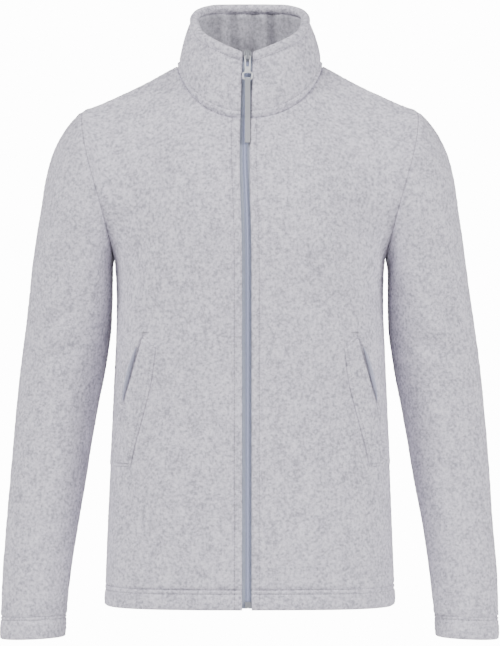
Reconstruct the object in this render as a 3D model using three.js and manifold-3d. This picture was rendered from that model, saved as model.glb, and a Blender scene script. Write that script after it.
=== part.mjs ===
// A man's fleece zip jacket, size M, zipped up and filled out as it is worn, in millimetres.
// +X is to the right of a viewer who faces it, the front faces -Y and +Z is up.
// The origin is the middle of the neck base, level with the high points of the shoulders.
import * as THREE from 'three';
import Module from 'manifold-3d';
import { mergeVertices } from 'three/addons/utils/BufferGeometryUtils.js';

// Cloth
const FLEECE = 3;
const HEM_WALL = 5.4;
const HEM_DEPTH = 25;
const CUFF_WALL = 5.2;
const COLLAR_WALL = 6;
const COLLAR_ROLL_RADIUS = 4.2;
const SEAM_GAP = 0.3;
const LYING_GAP = 0.7;

// Heights of the cut
const HEM_Z = -682;
const ARMPIT = { x: 169, z: -250 };
const SHOULDER_POINT = { x: 208.75, z: -68 };
const ARMHOLE_HALF_DEPTH = 84;
const ARMHOLE_BOW = 45;
const ARMPIT_DIP = 30;
const ARMPIT_DIP_REACH = 0.12;

// Neckline, as seen from above, and its drop at the centre front
const NECK = { half: 90, front: 84, back: 64, sideZ: -13, frontDrop: 67, backRise: 2, dropPower: 1.28 };
const COLLAR_TOP = { half: 72, front: 71, back: 52 };

// Torso girths: half width, depth in front of and behind the side seam, squareness of the section
const TORSO = [
  { z: -682, half: 180.5, front: 126, back: 120, power: 3.1 },
  { z: -600, half: 177.5, front: 126, back: 121, power: 3.0 },
  { z: -514, half: 174, front: 124, back: 117, power: 2.9 },
  { z: -420, half: 170, front: 123, back: 110, power: 2.8 },
  { z: -334, half: 166.5, front: 128, back: 112, power: 2.7 },
  { z: -275, half: 167, front: 133, back: 117, power: 2.6 },
  { z: -250, half: 169, front: 134, back: 118, power: 2.6 },
];

// Centre front and centre back above the chest
const CENTRE = [
  { z: -300, front: 131, back: 115 },
  { z: -250, front: 134, back: 118 },
  { z: -190, front: 127, back: 119 },
  { z: -135, front: 111, back: 114 },
  { z: -80, front: 84, back: 99 },
  { z: -40, front: 70, back: 80 },
  { z: -11, front: 60, back: 64 },
];

// Sleeve rings: topmost and innermost point of each ring, half its depth and its middle in y
const SLEEVE = [
  { outerX: 208.75, outerZ: -68, innerX: 169, innerZ: -250, depth: 84, y: 0 },
  { outerX: 221, outerZ: -79, innerX: 170.5, innerZ: -258, depth: 84, y: 0 },
  { outerX: 235, outerZ: -98, innerX: 171, innerZ: -267, depth: 83.5, y: 0 },
  { outerX: 247, outerZ: -124, innerX: 171, innerZ: -278, depth: 82.5, y: 0 },
  { outerX: 255, outerZ: -156, innerX: 170.8, innerZ: -291, depth: 80, y: 1 },
  { outerX: 261, outerZ: -195, innerX: 170.8, innerZ: -307, depth: 77, y: 2 },
  { outerX: 268, outerZ: -237, innerX: 171.5, innerZ: -325, depth: 74, y: 3 },
  { outerX: 275, outerZ: -286, innerX: 173, innerZ: -346, depth: 71, y: 5 },
  { outerX: 281, outerZ: -334, innerX: 177, innerZ: -371, depth: 67.5, y: 6 },
  { outerX: 286.5, outerZ: -380, innerX: 182, innerZ: -400, depth: 63, y: 6 },
  { outerX: 291.5, outerZ: -430, innerX: 189, innerZ: -434, depth: 59, y: 5 },
  { outerX: 296, outerZ: -482, innerX: 197.5, innerZ: -482, depth: 54.5, y: 2 },
  { outerX: 300, outerZ: -535, innerX: 206, innerZ: -535, depth: 49, y: -3 },
  { outerX: 304, outerZ: -590, innerX: 215.5, innerZ: -590, depth: 44, y: -9 },
  { outerX: 308, outerZ: -645, innerX: 223.5, innerZ: -645, depth: 40, y: -15 },
  { outerX: 309.5, outerZ: -695, innerX: 228.5, innerZ: -695, depth: 37, y: -20 },
  { outerX: 309.7, outerZ: -698, innerX: 228.7, innerZ: -698, depth: 37, y: -20 },
  { outerX: 310, outerZ: -725, innerX: 230.5, innerZ: -722, depth: 36, y: -22 },
];
const CUFF_FIRST_RING = 16;

// Crest of the collar by angle round the neck, from the centre front (0) to the centre back (180)
const COLLAR_CREST = [
  { angle: 0, z: 2 },
  { angle: 30, z: 16 },
  { angle: 60, z: 32 },
  { angle: 80, z: 47 },
  { angle: 100, z: 58 },
  { angle: 135, z: 68 },
  { angle: 180, z: 73 },
];

// Numbers of steps in the cloth
const QUARTER_COLUMNS = 11;
const NECK_COLUMNS = 6;
const LOWER_ROWS = 10;
const UPPER_ROWS = 8;
const RELAX_PASSES = 10;
const SLEEVE_COLUMNS = 22;
const COLLAR_COLUMNS = 2 * NECK_COLUMNS;
const COLLAR_ROWS = 5;
const ROLL_POINTS = 4;

// Zip
const ZIP_X = -2.5;
const ZIP_BOW = { size: -4, z: -115, reach: 75 };
const ZIP_OPENING_HALF = 7.5;
const TAPE = { wing: 13, wingTop: -112, depth: 3.6, wall: 1, topZ: -14, bottomZ: -680 };
const CHAIN = { half: 2.5, front: 2.8, back: 5.4, topZ: -13, bottomZ: -671 };
const BOTTOM_BOX = { half: 3.6, front: 0.4, back: 3.2, topZ: -671.5, bottomZ: -679 };
const SLIDER = { topHalf: 4.9, bottomHalf: 3.9, above: 8.6, below: 6.2, plate: 1.9, back: 6.2, rear: 8 };
const BRIDGE = { half: 1.6, top: 5.0, bottom: -4.6, proud: 4.4, foot: 1.9, roof: 1.5 };
const TAB = {
  gap: 0.6, wall: 1.7, barTop: 0.55, barBottom: -0.55, armOuter: 3.6, armInner: 1.95,
  windowBottom: -13.5, shoulder: -14.6, waist: -21, waistHalf: 2.7, ringZ: -25.2,
  ringHalf: 6.5, ringTall: 5.2, ringPower: 3.6,
  holeHalf: 4.7, holeTall: 3.5,
};
const SLIDER_Z = -4.5;
const LEAN_Z = -40;
const RIBBON = { half: 3.3, layer: 0.7, endZ: -112, hole: 1.75, lift: 0.7 };

// Pocket welts, by the x and z of their opening edge and of their inner edge on the front
const WELT_WALL = 3.4;
const WELT = [
  { openX: 130, openZ: -347, innerX: 115, innerZ: -359.5 },
  { openX: 142, openZ: -396, innerX: 120.6, innerZ: -403 },
  { openX: 154.5, openZ: -441.5, innerX: 130.5, innerZ: -444 },
  { openX: 160, openZ: -477, innerX: 140, innerZ: -479 },
  { openX: 163.5, openZ: -509, innerX: 146.5, innerZ: -509 },
];
const FACING = { wall: 1, width: 5.5, start: 0.08, end: 0.42, gap: 0.4 };
const WELT_STEPS = 22;
const WELT_ACROSS = 5;

const COLOURS = {
  fleece: { color: 0xc4c3c8, roughness: 0.95, metalness: 0 },
  tape: { color: 0xaeb2bc, roughness: 0.85, metalness: 0 },
  coil: { color: 0xa3a8b8, roughness: 0.5, metalness: 0 },
  metal: { color: 0xcfd0d3, roughness: 0.35, metalness: 0.8 },
  ribbon: { color: 0xb6b7b9, roughness: 0.9, metalness: 0 },
  facing: { color: 0xb9bcd6, roughness: 0.9, metalness: 0 },
};

const UP = new THREE.Vector3(0, 0, 1);
const radians = THREE.MathUtils.degToRad;
const vec = (x, y, z) => new THREE.Vector3(x, y, z);

// A smooth curve through one column of a table, by another column that rises or falls
function along(table, key, at, column) {
  const rising = table[table.length - 1][key] > table[0][key];
  const place = (row) => (rising ? row[key] : -row[key]);
  const target = rising ? at : -at;
  let i = 0;
  while (i < table.length - 2 && target > place(table[i + 1])) i += 1;
  const slope = (k) => {
    const a = table[Math.max(k - 1, 0)];
    const b = table[Math.min(k + 1, table.length - 1)];
    return (b[column] - a[column]) / (place(b) - place(a));
  };
  const width = place(table[i + 1]) - place(table[i]);
  const t = THREE.MathUtils.clamp((target - place(table[i])) / width, 0, 1);
  const t2 = t * t;
  const t3 = t2 * t;
  return (2 * t3 - 3 * t2 + 1) * table[i][column] + (t3 - 2 * t2 + t) * width * slope(i)
    + (3 * t2 - 2 * t3) * table[i + 1][column] + (t3 - t2) * width * slope(i + 1);
}

// The zip leans a little to one side over the chest
function zipX(z) {
  return ZIP_X + ZIP_BOW.size * Math.exp(-(((z - ZIP_BOW.z) / ZIP_BOW.reach) ** 2));
}

// Distance of the cloth's front edge from x = 0, on the side of +X (1) or -X (-1)
function frontEdge(side, z) {
  return ZIP_OPENING_HALF + side * zipX(z);
}

// Moves a point of a whole half section so that it starts at the front edge
function fromEdge(side, x, half, z) {
  const edge = frontEdge(side, z);
  return edge + (x * (half - edge)) / half;
}

// A point of the torso's girth at height z: s runs from the centre (0) to the side seam (1)
function girthPoint(face, side, s, z) {
  const half = along(TORSO, 'z', z, 'half');
  const power = along(TORSO, 'z', z, 'power');
  const deep = along(TORSO, 'z', z, face);
  const turn = (1 - s) * Math.PI / 2;
  const reach = (Math.cos(turn) ** power + Math.sin(turn) ** power) ** (-1 / power);
  const x = half * reach * Math.cos(turn);
  const y = deep * reach * Math.sin(turn);
  if (face === 'front') return vec(side * fromEdge(side, x, half, z), -y, z);
  return vec(side * x, y, z);
}

// The armhole: turn runs from the shoulder point (0) over the front to the armpit (pi) and back
function armholePoint(side, turn) {
  const lift = (1 + Math.cos(turn)) / 2;
  const x = THREE.MathUtils.lerp(ARMPIT.x, SHOULDER_POINT.x, lift) + ARMHOLE_BOW * lift ** 3 * (1 - lift);
  const z = THREE.MathUtils.lerp(ARMPIT.z, SHOULDER_POINT.z, lift);
  return vec(side * x, -ARMHOLE_HALF_DEPTH * Math.sin(turn), z);
}

// Direction from the body out into the sleeve, square to the armhole
function armholeAxis(side) {
  const rise = vec(SHOULDER_POINT.x - ARMPIT.x, 0, SHOULDER_POINT.z - ARMPIT.z).normalize();
  return vec(side * rise.z, 0, -rise.x);
}

function armholeOutward(side, point) {
  const middle = vec(side * (ARMPIT.x + SHOULDER_POINT.x) / 2, 0, (ARMPIT.z + SHOULDER_POINT.z) / 2);
  const out = point.clone().sub(middle);
  const axis = armholeAxis(side);
  return out.addScaledVector(axis, -out.dot(axis)).normalize();
}

// The neckline: angle runs from the centre front (0) over the side (90) to the centre back (180)
function neckPoint(side, angle) {
  const turn = radians(angle);
  const ahead = Math.cos(turn);
  const x = NECK.half * Math.sin(turn);
  if (ahead < 0) return vec(side * x, -NECK.back * ahead, NECK.sideZ - NECK.backRise * ahead);
  const z = NECK.sideZ - NECK.frontDrop * ahead ** NECK.dropPower;
  return vec(side * fromEdge(side, x, NECK.half, z), -NECK.front * ahead, z);
}

// Where the torso's cloth and the collar's meet, both walls run inward along this direction
function neckOutward(side, angle) {
  const turn = radians(angle);
  const steep = THREE.MathUtils.lerp(0.88, 0.36, Math.abs(Math.cos(turn)));
  return vec(side * Math.sin(turn), -Math.cos(turn), steep).normalize();
}

function neckSeamUp(side, angle) {
  const out = neckOutward(side, angle);
  return UP.clone().addScaledVector(out, -UP.dot(out)).normalize();
}

// Top edge of a front or back, from the centre over the neckline and along the shoulder seam
function topEdge(face, side, column) {
  if (column <= NECK_COLUMNS) {
    const share = column / NECK_COLUMNS;
    return neckPoint(side, face === 'front' ? 90 * share : 180 - 90 * share);
  }
  const share = (column - NECK_COLUMNS) / (QUARTER_COLUMNS - NECK_COLUMNS);
  const start = neckPoint(side, 90);
  const end = vec(side * SHOULDER_POINT.x, 0, SHOULDER_POINT.z);
  return start.lerp(end, share);
}

function armpitRowZ(s) {
  return ARMPIT.z - ARMPIT_DIP * (1 - Math.exp(-(1 - s) / ARMPIT_DIP_REACH));
}

// Heights of the torso's lower rows, as shares of the way from the hem to the armpit row
function lowerShares() {
  const tall = ARMPIT.z - ARMPIT_DIP - HEM_Z;
  const hem = HEM_DEPTH / tall;
  const step = 2 / tall;
  const shares = [0, hem, hem + step];
  for (let i = 1; i <= LOWER_ROWS; i += 1) shares.push(hem + step + ((1 - hem - step) * i) / LOWER_ROWS);
  return shares;
}

// A point of the yoke, blended between the armpit row, the centre, the armhole and the top edge
function yokePoint(face, side, column, t) {
  const s = column / QUARTER_COLUMNS;
  const bottom = (at) => girthPoint(face, side, at, armpitRowZ(at));
  const top = (at) => topEdge(face, side, at * QUARTER_COLUMNS);
  const centre = (at) => {
    const z = THREE.MathUtils.lerp(armpitRowZ(0), top(0).z, at);
    const y = along(CENTRE, 'z', z, face) * (face === 'front' ? -1 : 1);
    return vec(face === 'front' ? side * frontEdge(side, z) : 0, y, z);
  };
  const armhole = (at) => armholePoint(side, (face === 'front' ? 1 : -1) * Math.PI * (1 - at));
  const point = bottom(s).multiplyScalar(1 - t).addScaledVector(top(s), t);
  point.addScaledVector(centre(t), 1 - s).addScaledVector(armhole(t), s);
  point.addScaledVector(bottom(0), -(1 - s) * (1 - t)).addScaledVector(bottom(1), -s * (1 - t));
  return point.addScaledVector(top(0), -(1 - s) * t).addScaledVector(top(1), -s * t);
}

// Rows of outer points of a quarter of the torso, from the hem up, each from the centre outward
function quarterRows(face, side) {
  const rows = lowerShares().map((share) => {
    const row = [];
    for (let k = 0; k <= QUARTER_COLUMNS; k += 1) {
      const s = k / QUARTER_COLUMNS;
      row.push(girthPoint(face, side, s, THREE.MathUtils.lerp(HEM_Z, armpitRowZ(s), share)));
    }
    return row;
  });
  for (let m = 1; m <= UPPER_ROWS; m += 1) {
    const row = [];
    for (let k = 0; k <= QUARTER_COLUMNS; k += 1) row.push(yokePoint(face, side, k, m / UPPER_ROWS));
    rows.push(row);
  }
  return relaxYoke(face, side, rows);
}

// Evens out the yoke: points off its seams move half way to the middle of their neighbours
function relaxYoke(face, side, rows) {
  const first = rows.length - UPPER_ROWS - 2;
  for (let pass = 0; pass < RELAX_PASSES; pass += 1) {
    const before = rows.map((row) => row.map((point) => point.clone()));
    for (let m = first; m < rows.length - 1; m += 1) {
      for (let k = 0; k < QUARTER_COLUMNS; k += 1) {
        const middle = before[m - 1][k].clone().add(before[m + 1][k]);
        middle.add(before[m][Math.abs(k - 1)]).add(before[m][k + 1]).multiplyScalar(0.25);
        rows[m][k].lerp(middle, 0.5);
        if (k === 0) rows[m][k].x = face === 'front' ? side * frontEdge(side, rows[m][k].z) : 0;
      }
    }
  }
  return rows;
}

// Outward directions of a grid of points, by the differences between neighbours
function gridNormals(rows, wrapped) {
  const last = rows.length - 1;
  return rows.map((row, m) => row.map((_, k) => {
    const before = wrapped ? (k + row.length - 1) % row.length : Math.max(k - 1, 0);
    const after = wrapped ? (k + 1) % row.length : Math.min(k + 1, row.length - 1);
    const across = row[after].clone().sub(row[before]);
    const upward = rows[Math.min(m + 1, last)][k].clone().sub(rows[Math.max(m - 1, 0)][k]);
    return across.cross(upward).normalize();
  }));
}

function torsoWall(row) {
  return row < 2 ? HEM_WALL : FLEECE;
}

// Seams of a quarter: the outer edge keeps its half of the gap, and the wall runs in along the mitre
function seamQuarter(face, side, rows, normals) {
  const sign = face === 'front' ? -1 : 1;
  const armpitRow = rows.length - 1 - UPPER_ROWS;
  const topRow = rows.length - 1;
  rows.forEach((row, m) => {
    const edge = row[QUARTER_COLUMNS];
    if (m > armpitRow) {
      normals[m][QUARTER_COLUMNS].copy(armholeOutward(side, edge));
      edge.addScaledVector(armholeAxis(side), -SEAM_GAP / 2);
    } else {
      normals[m][QUARTER_COLUMNS].setY(0).normalize();
    }
    if (m <= armpitRow || m === topRow) edge.y = sign * SEAM_GAP / 2;
  });
  for (let k = 0; k <= QUARTER_COLUMNS; k += 1) {
    const point = rows[topRow][k];
    if (k <= NECK_COLUMNS) {
      const share = k / NECK_COLUMNS;
      const angle = face === 'front' ? 90 * share : 180 - 90 * share;
      normals[topRow][k].copy(neckOutward(side, angle));
      point.addScaledVector(neckSeamUp(side, angle), -SEAM_GAP / 2);
    } else {
      normals[topRow][k].setY(0).normalize();
    }
    if (k >= NECK_COLUMNS) point.y = sign * SEAM_GAP / 2;
  }
}

function innerRows(rows, normals, wallOf) {
  return rows.map((row, m) => row.map((point, k) => point.clone().addScaledVector(normals[m][k], -wallOf(m))));
}

// A closed body through loops of points, whose ends meet or are capped point to opposite point
function loft(loops, ring) {
  const count = loops[0].length;
  const positions = loops.flat().flatMap((p) => [p.x, p.y, p.z]);
  const faces = [];
  const quad = (a, b, c, d) => faces.push(a, b, c, a, c, d);
  const spans = ring ? loops.length : loops.length - 1;
  for (let m = 0; m < spans; m += 1) {
    const here = m * count;
    const next = ((m + 1) % loops.length) * count;
    for (let k = 0; k < count; k += 1) {
      const k1 = (k + 1) % count;
      quad(here + k, here + k1, next + k1, next + k);
    }
  }
  if (!ring) {
    const end = (loops.length - 1) * count;
    for (let k = 0; k < count / 2 - 1; k += 1) {
      quad(count - 1 - k, count - 2 - k, k + 1, k);
      quad(end + k, end + k + 1, end + count - 2 - k, end + count - 1 - k);
    }
  }
  const geometry = new THREE.BufferGeometry();
  geometry.setAttribute('position', new THREE.Float32BufferAttribute(positions, 3));
  geometry.setIndex(faces);
  return facingOut(geometry);
}

function signedVolume(geometry) {
  const points = geometry.getAttribute('position');
  const index = geometry.getIndex().array;
  const corner = (i) => new THREE.Vector3().fromBufferAttribute(points, index[i]);
  let sum = 0;
  for (let i = 0; i < index.length; i += 3) sum += corner(i).dot(corner(i + 1).cross(corner(i + 2)));
  return sum / 6;
}

function facingOut(geometry) {
  if (signedVolume(geometry) < 0) {
    const index = geometry.getIndex().array;
    for (let i = 0; i < index.length; i += 3) [index[i], index[i + 1]] = [index[i + 1], index[i]];
  }
  return geometry;
}

const group = new THREE.Group();
group.name = 'fleece_zip_jacket';
const materials = {};
for (const [name, values] of Object.entries(COLOURS)) {
  materials[name] = new THREE.MeshStandardMaterial(values);
}

function addPiece(name, geometry, material, parent = group) {
  geometry.computeVertexNormals();
  const mesh = new THREE.Mesh(geometry, materials[material]);
  mesh.name = name;
  parent.add(mesh);
  return mesh;
}

// Loops of a panel: along the outer face of a row and back along its inner face
function panelLoops(rows, inner) {
  return rows.map((row, m) => [...row, ...inner[m].slice().reverse()]);
}

function outwardNormals(rows, face) {
  const normals = gridNormals(rows, false);
  const middle = normals[3][Math.floor(rows[0].length / 2)];
  const wrong = face === 'front' ? middle.y > 0 : middle.y < 0;
  if (wrong) normals.forEach((row) => row.forEach((n) => n.negate()));
  return normals;
}

// A front, whose centre edge is square to the zip
function makeFront(side) {
  const rows = quarterRows('front', side);
  const normals = outwardNormals(rows, 'front');
  normals.forEach((row) => row[0].setX(0).normalize());
  seamQuarter('front', side, rows, normals);
  const topCentre = normals[rows.length - 1][0];
  topCentre.setX(0).normalize();
  return { rows, normals, geometry: loft(panelLoops(rows, innerRows(rows, normals, torsoWall)), false) };
}

// The back, made of two quarters that share their centre column
function makeBack() {
  const halves = [-1, 1].map((side) => {
    const rows = quarterRows('back', side);
    const normals = outwardNormals(rows, 'back');
    normals.forEach((row) => row[0].setX(0).normalize());
    seamQuarter('back', side, rows, normals);
    return { rows, normals };
  });
  const join = (key) => halves[0][key].map((row, m) => [...row.slice(1).reverse(), ...halves[1][key][m]]);
  const rows = join('rows');
  const normals = join('normals');
  return loft(panelLoops(rows, innerRows(rows, normals, torsoWall)), false);
}

// A set-in sleeve, a tube from the armhole to the cuff
function makeSleeve(side) {
  const rows = SLEEVE.map((ring, m) => {
    const row = [];
    const fade = Math.max(0, 1 - m / 4);
    for (let k = 0; k < SLEEVE_COLUMNS; k += 1) {
      const turn = (2 * Math.PI * k) / SLEEVE_COLUMNS;
      const lift = (1 + Math.cos(turn)) / 2;
      const bow = ARMHOLE_BOW * fade * lift ** 3 * (1 - lift);
      const x = THREE.MathUtils.lerp(ring.innerX, ring.outerX, lift) + bow;
      const z = THREE.MathUtils.lerp(ring.innerZ, ring.outerZ, lift);
      row.push(vec(side * x, ring.y - ring.depth * Math.sin(turn), z));
    }
    return row;
  });
  const normals = gridNormals(rows, true);
  const outer = normals[10][0];
  if (outer.x * side < 0) normals.forEach((row) => row.forEach((n) => n.negate()));
  rows[0].forEach((point, k) => {
    normals[0][k].copy(armholeOutward(side, point));
    point.addScaledVector(armholeAxis(side), SEAM_GAP / 2);
  });
  const inner = innerRows(rows, normals, (m) => (m >= CUFF_FIRST_RING ? CUFF_WALL : FLEECE));
  const loops = [];
  for (let k = 0; k < SLEEVE_COLUMNS; k += 1) {
    loops.push([...rows.map((row) => row[k]), ...inner.map((row) => row[k]).reverse()]);
  }
  return loft(loops, true);
}

// Outer face of the collar by angle round the neck and share of its height
function collarPoint(side, angle, share) {
  const turn = radians(angle);
  const ahead = Math.cos(turn);
  const crestZ = along(COLLAR_CREST, 'angle', angle, 'z') - COLLAR_ROLL_RADIUS;
  const deep = ahead > 0 ? COLLAR_TOP.front : COLLAR_TOP.back;
  let x = COLLAR_TOP.half * Math.sin(turn);
  if (ahead > 0) x = fromEdge(side, x, COLLAR_TOP.half, crestZ);
  const top = vec(side * x, -deep * ahead, crestZ);
  const point = neckPoint(side, angle).lerp(top, share);
  const bulge = 2.5 * Math.sin(Math.PI * share);
  return point.add(vec(side * Math.sin(turn) * bulge, -ahead * bulge, 0));
}

function collarOutward(side, angle, share) {
  const turn = radians(angle);
  const lean = vec(side * Math.sin(turn), -Math.cos(turn), 0.2).normalize();
  return neckOutward(side, angle).lerp(lean, Math.min(1, share * 4)).normalize();
}

// Section of the collar at one angle: up its outer face, over the rolled crest and down inside
function collarSection(side, angle) {
  const outer = [];
  const inner = [];
  const square = angle < 1e-6;
  for (let i = 0; i < COLLAR_ROWS; i += 1) {
    const share = i / (COLLAR_ROWS - 0.4);
    const out = collarOutward(side, angle, share);
    if (square) out.setX(0).normalize();
    const point = collarPoint(side, angle, share);
    if (i === 0) point.addScaledVector(neckSeamUp(side, angle), SEAM_GAP / 2);
    outer.push(point);
    inner.push(point.clone().addScaledVector(out, -COLLAR_WALL));
  }
  const out = collarOutward(side, angle, 1);
  if (square) out.setX(0).normalize();
  const middle = collarPoint(side, angle, 1).addScaledVector(out, -COLLAR_WALL / 2);
  const roll = [];
  for (let i = 0; i < ROLL_POINTS; i += 1) {
    const turn = (Math.PI * i) / (ROLL_POINTS - 1);
    const point = middle.clone().addScaledVector(out, COLLAR_ROLL_RADIUS * Math.cos(turn));
    roll.push(point.addScaledVector(UP, COLLAR_ROLL_RADIUS * Math.sin(turn)));
  }
  return [...outer, ...roll, ...inner.reverse()];
}

function makeCollar() {
  const loops = [];
  for (let i = 0; i <= COLLAR_COLUMNS; i += 1) loops.push(collarSection(-1, (180 * i) / COLLAR_COLUMNS));
  for (let i = COLLAR_COLUMNS - 1; i >= 0; i -= 1) loops.push(collarSection(1, (180 * i) / COLLAR_COLUMNS));
  return loft(loops, false);
}

// A point of a panel's outer facets under x and z, moved out along the panel
function onPanel(panel, x, z, lift) {
  const { rows, normals } = panel;
  for (let m = 0; m < rows.length - 1; m += 1) {
    for (let k = 0; k < rows[0].length - 1; k += 1) {
      const corners = [[m, k], [m, k + 1], [m + 1, k + 1], [m + 1, k]];
      for (const [a, b, c] of [[0, 1, 2], [0, 2, 3]]) {
        const ids = [corners[a], corners[b], corners[c]];
        const [p, q, r] = ids.map(([i, j]) => rows[i][j]);
        const area = (q.x - p.x) * (r.z - p.z) - (r.x - p.x) * (q.z - p.z);
        const v = ((x - p.x) * (r.z - p.z) - (r.x - p.x) * (z - p.z)) / area;
        const w = ((q.x - p.x) * (z - p.z) - (x - p.x) * (q.z - p.z)) / area;
        if (v >= -1e-9 && w >= -1e-9 && v + w <= 1 + 1e-9) {
          const weights = [1 - v - w, v, w];
          const point = vec(0, 0, 0);
          const normal = vec(0, 0, 0);
          ids.forEach(([i, j], n) => {
            point.addScaledVector(rows[i][j], weights[n]);
            normal.addScaledVector(normals[i][j], weights[n]);
          });
          return point.addScaledVector(normal.normalize(), lift);
        }
      }
    }
  }
  throw new Error(`no panel under x ${x}, z ${z}`);
}

// Edges of the welt at a share of its length
function weltEdges(share) {
  const table = WELT.map((row, i) => ({ ...row, share: i / (WELT.length - 1) }));
  const at = (column) => along(table, 'share', share, column);
  return { open: [at('openX'), at('openZ')], inner: [at('innerX'), at('innerZ')] };
}

// A strip that lies on a front between two edges, each given by share as x and z
function stripOnPanel(panel, side, edges, start, end, wall) {
  const loops = [];
  for (let i = 0; i <= WELT_STEPS; i += 1) {
    const [from, to] = edges(start + ((end - start) * i) / WELT_STEPS);
    const low = [];
    const high = [];
    for (let j = 0; j <= WELT_ACROSS; j += 1) {
      const x = side * THREE.MathUtils.lerp(from[0], to[0], j / WELT_ACROSS);
      const z = THREE.MathUtils.lerp(from[1], to[1], j / WELT_ACROSS);
      low.push(onPanel(panel, x, z, LYING_GAP));
      high.push(onPanel(panel, x, z, LYING_GAP + wall));
    }
    loops.push([...high, ...low.reverse()]);
  }
  return loft(loops, false);
}

// The line of the zip: the level of the cloth's outer face between the two front edges
function zipLine(z, frontRows) {
  const edge = frontRows.map((row) => row[0]);
  for (let m = 0; m < edge.length - 1; m += 1) {
    if (z >= edge[m].z - 1e-6 && z <= edge[m + 1].z) {
      const share = (z - edge[m].z) / (edge[m + 1].z - edge[m].z);
      return THREE.MathUtils.lerp(edge[m].y, edge[m + 1].y, share);
    }
  }
  const foot = collarPoint(1, 0, 0);
  const top = collarPoint(1, 0, 1);
  const share = Math.max(0, (z - foot.z) / (top.z - foot.z));
  return collarPoint(1, 0, share).y;
}

// Heights where the zip's parts bend with the cloth, between two ends
function zipHeights(bottomZ, topZ, frontRows, extra = []) {
  const collarStops = [0, 0.2, 0.4, 0.6, 0.8, 1].map((share) => collarPoint(1, 0, share).z);
  const all = [...frontRows.map((row) => row[0].z), ...collarStops, ...extra];
  const inside = all.filter((z) => z > bottomZ + 1 && z < topZ - 1);
  const sorted = [bottomZ, ...inside, topZ].sort((a, b) => a - b);
  return sorted.filter((z, i) => i === 0 || z - sorted[i - 1] > 0.5);
}

// A strip that follows the zip line, between two distances from its middle and two depths
function zipStrip(heights, nearOf, farOf, front, back, side, frontRows) {
  const loops = heights.map((z) => {
    const level = zipLine(z, frontRows);
    const near = zipX(z) + side * nearOf(z);
    const far = zipX(z) + side * farOf(z);
    return [vec(near, level + front, z), vec(far, level + front, z),
      vec(far, level + back, z), vec(near, level + back, z)];
  });
  return loft(loops, false);
}

// Wings of the tape lie behind the fronts, but not in the hem or the collar
function tapeReach(z) {
  const behindFront = z > HEM_Z + HEM_DEPTH + 5 && z < TAPE.wingTop;
  return behindFront ? TAPE.wing : ZIP_OPENING_HALF - SEAM_GAP;
}

const wasm = await Module();
wasm.setup();

function toManifold(geometry) {
  const bare = geometry.clone();
  bare.deleteAttribute('normal');
  bare.deleteAttribute('uv');
  const merged = mergeVertices(bare, 1e-4);
  const mesh = new wasm.Mesh({
    numProp: 3,
    vertProperties: new Float32Array(merged.getAttribute('position').array),
    triVerts: new Uint32Array(merged.getIndex().array),
  });
  return new wasm.Manifold(mesh);
}

function fromManifold(solid) {
  const mesh = solid.getMesh();
  const geometry = new THREE.BufferGeometry();
  geometry.setAttribute('position', new THREE.Float32BufferAttribute(mesh.vertProperties, 3));
  geometry.setIndex(Array.from(mesh.triVerts));
  return geometry;
}

function united(geometries) {
  return fromManifold(geometries.map(toManifold).reduce((sum, solid) => sum.add(solid)));
}

// Extrudes an outline drawn in x and z along y, from one y to another
function plateXZ(outline, fromY, toY, holes = []) {
  const shape = new THREE.Shape(outline.map(([x, z]) => new THREE.Vector2(x, z)));
  for (const hole of holes) shape.holes.push(new THREE.Path(hole.map(([x, z]) => new THREE.Vector2(x, z))));
  const geometry = new THREE.ExtrudeGeometry(shape, { depth: toY - fromY, bevelEnabled: false });
  return geometry.rotateX(Math.PI / 2).translate(0, toY, 0);
}

// Extrudes an outline drawn in y and z along x, to the same distance on both sides
function plateYZ(outline, half, holes = []) {
  const shape = new THREE.Shape(outline.map(([y, z]) => new THREE.Vector2(y, z)));
  for (const hole of holes) shape.holes.push(new THREE.Path(hole.map(([y, z]) => new THREE.Vector2(y, z))));
  const geometry = new THREE.ExtrudeGeometry(shape, { depth: 2 * half, bevelEnabled: false });
  const turned = new THREE.Matrix4().set(0, 0, 1, -half, 1, 0, 0, 0, 0, 1, 0, 0, 0, 0, 0, 1);
  return geometry.applyMatrix4(turned);
}

// An oval of points, squarer the higher its power
function oval(middleX, middleZ, half, tall, steps, power = 2) {
  const points = [];
  for (let i = 0; i < steps; i += 1) {
    const turn = (2 * Math.PI * i) / steps;
    const [c, s] = [Math.cos(turn), Math.sin(turn)];
    const reach = (Math.abs(c) ** power + Math.abs(s) ** power) ** (-1 / power);
    points.push([middleX + half * reach * c, middleZ + tall * reach * s]);
  }
  return points;
}

// Slider: two plates joined above the chain, with a bridge on the front one.
// In its own frame z runs up the zip, y is 0 at the cloth's outer face and the bar is at z = 0.
function makeSlider() {
  const { topHalf, bottomHalf, above, below, plate, back, rear } = SLIDER;
  const shield = [[-bottomHalf, -below], [bottomHalf, -below], [topHalf, above - 4],
    [topHalf - 2, above], [-topHalf + 2, above], [-topHalf, above - 4]];
  const neck = [[-topHalf + 2.2, above - 4.2], [topHalf - 2.2, above - 4.2],
    [topHalf - 2.2, above - 0.4], [-topHalf + 2.2, above - 0.4]];
  const { half, top, bottom, proud, foot, roof } = BRIDGE;
  const arch = [[0.4, bottom], [0.4, top], [-proud + 1, top], [-proud, top - 1], [-proud, bottom + 1],
    [-proud + 1, bottom]];
  const window = [[-0.3, bottom + foot], [-proud + roof, bottom + foot],
    [-proud + roof, top - foot - 1.6], [-0.3, top - foot - 1.6]];
  return united([plateXZ(shield, 0, plate), plateXZ(shield, back, rear),
    plateXZ(neck, plate - 0.5, back + 0.5), plateYZ(arch, half, [window])]);
}

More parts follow.
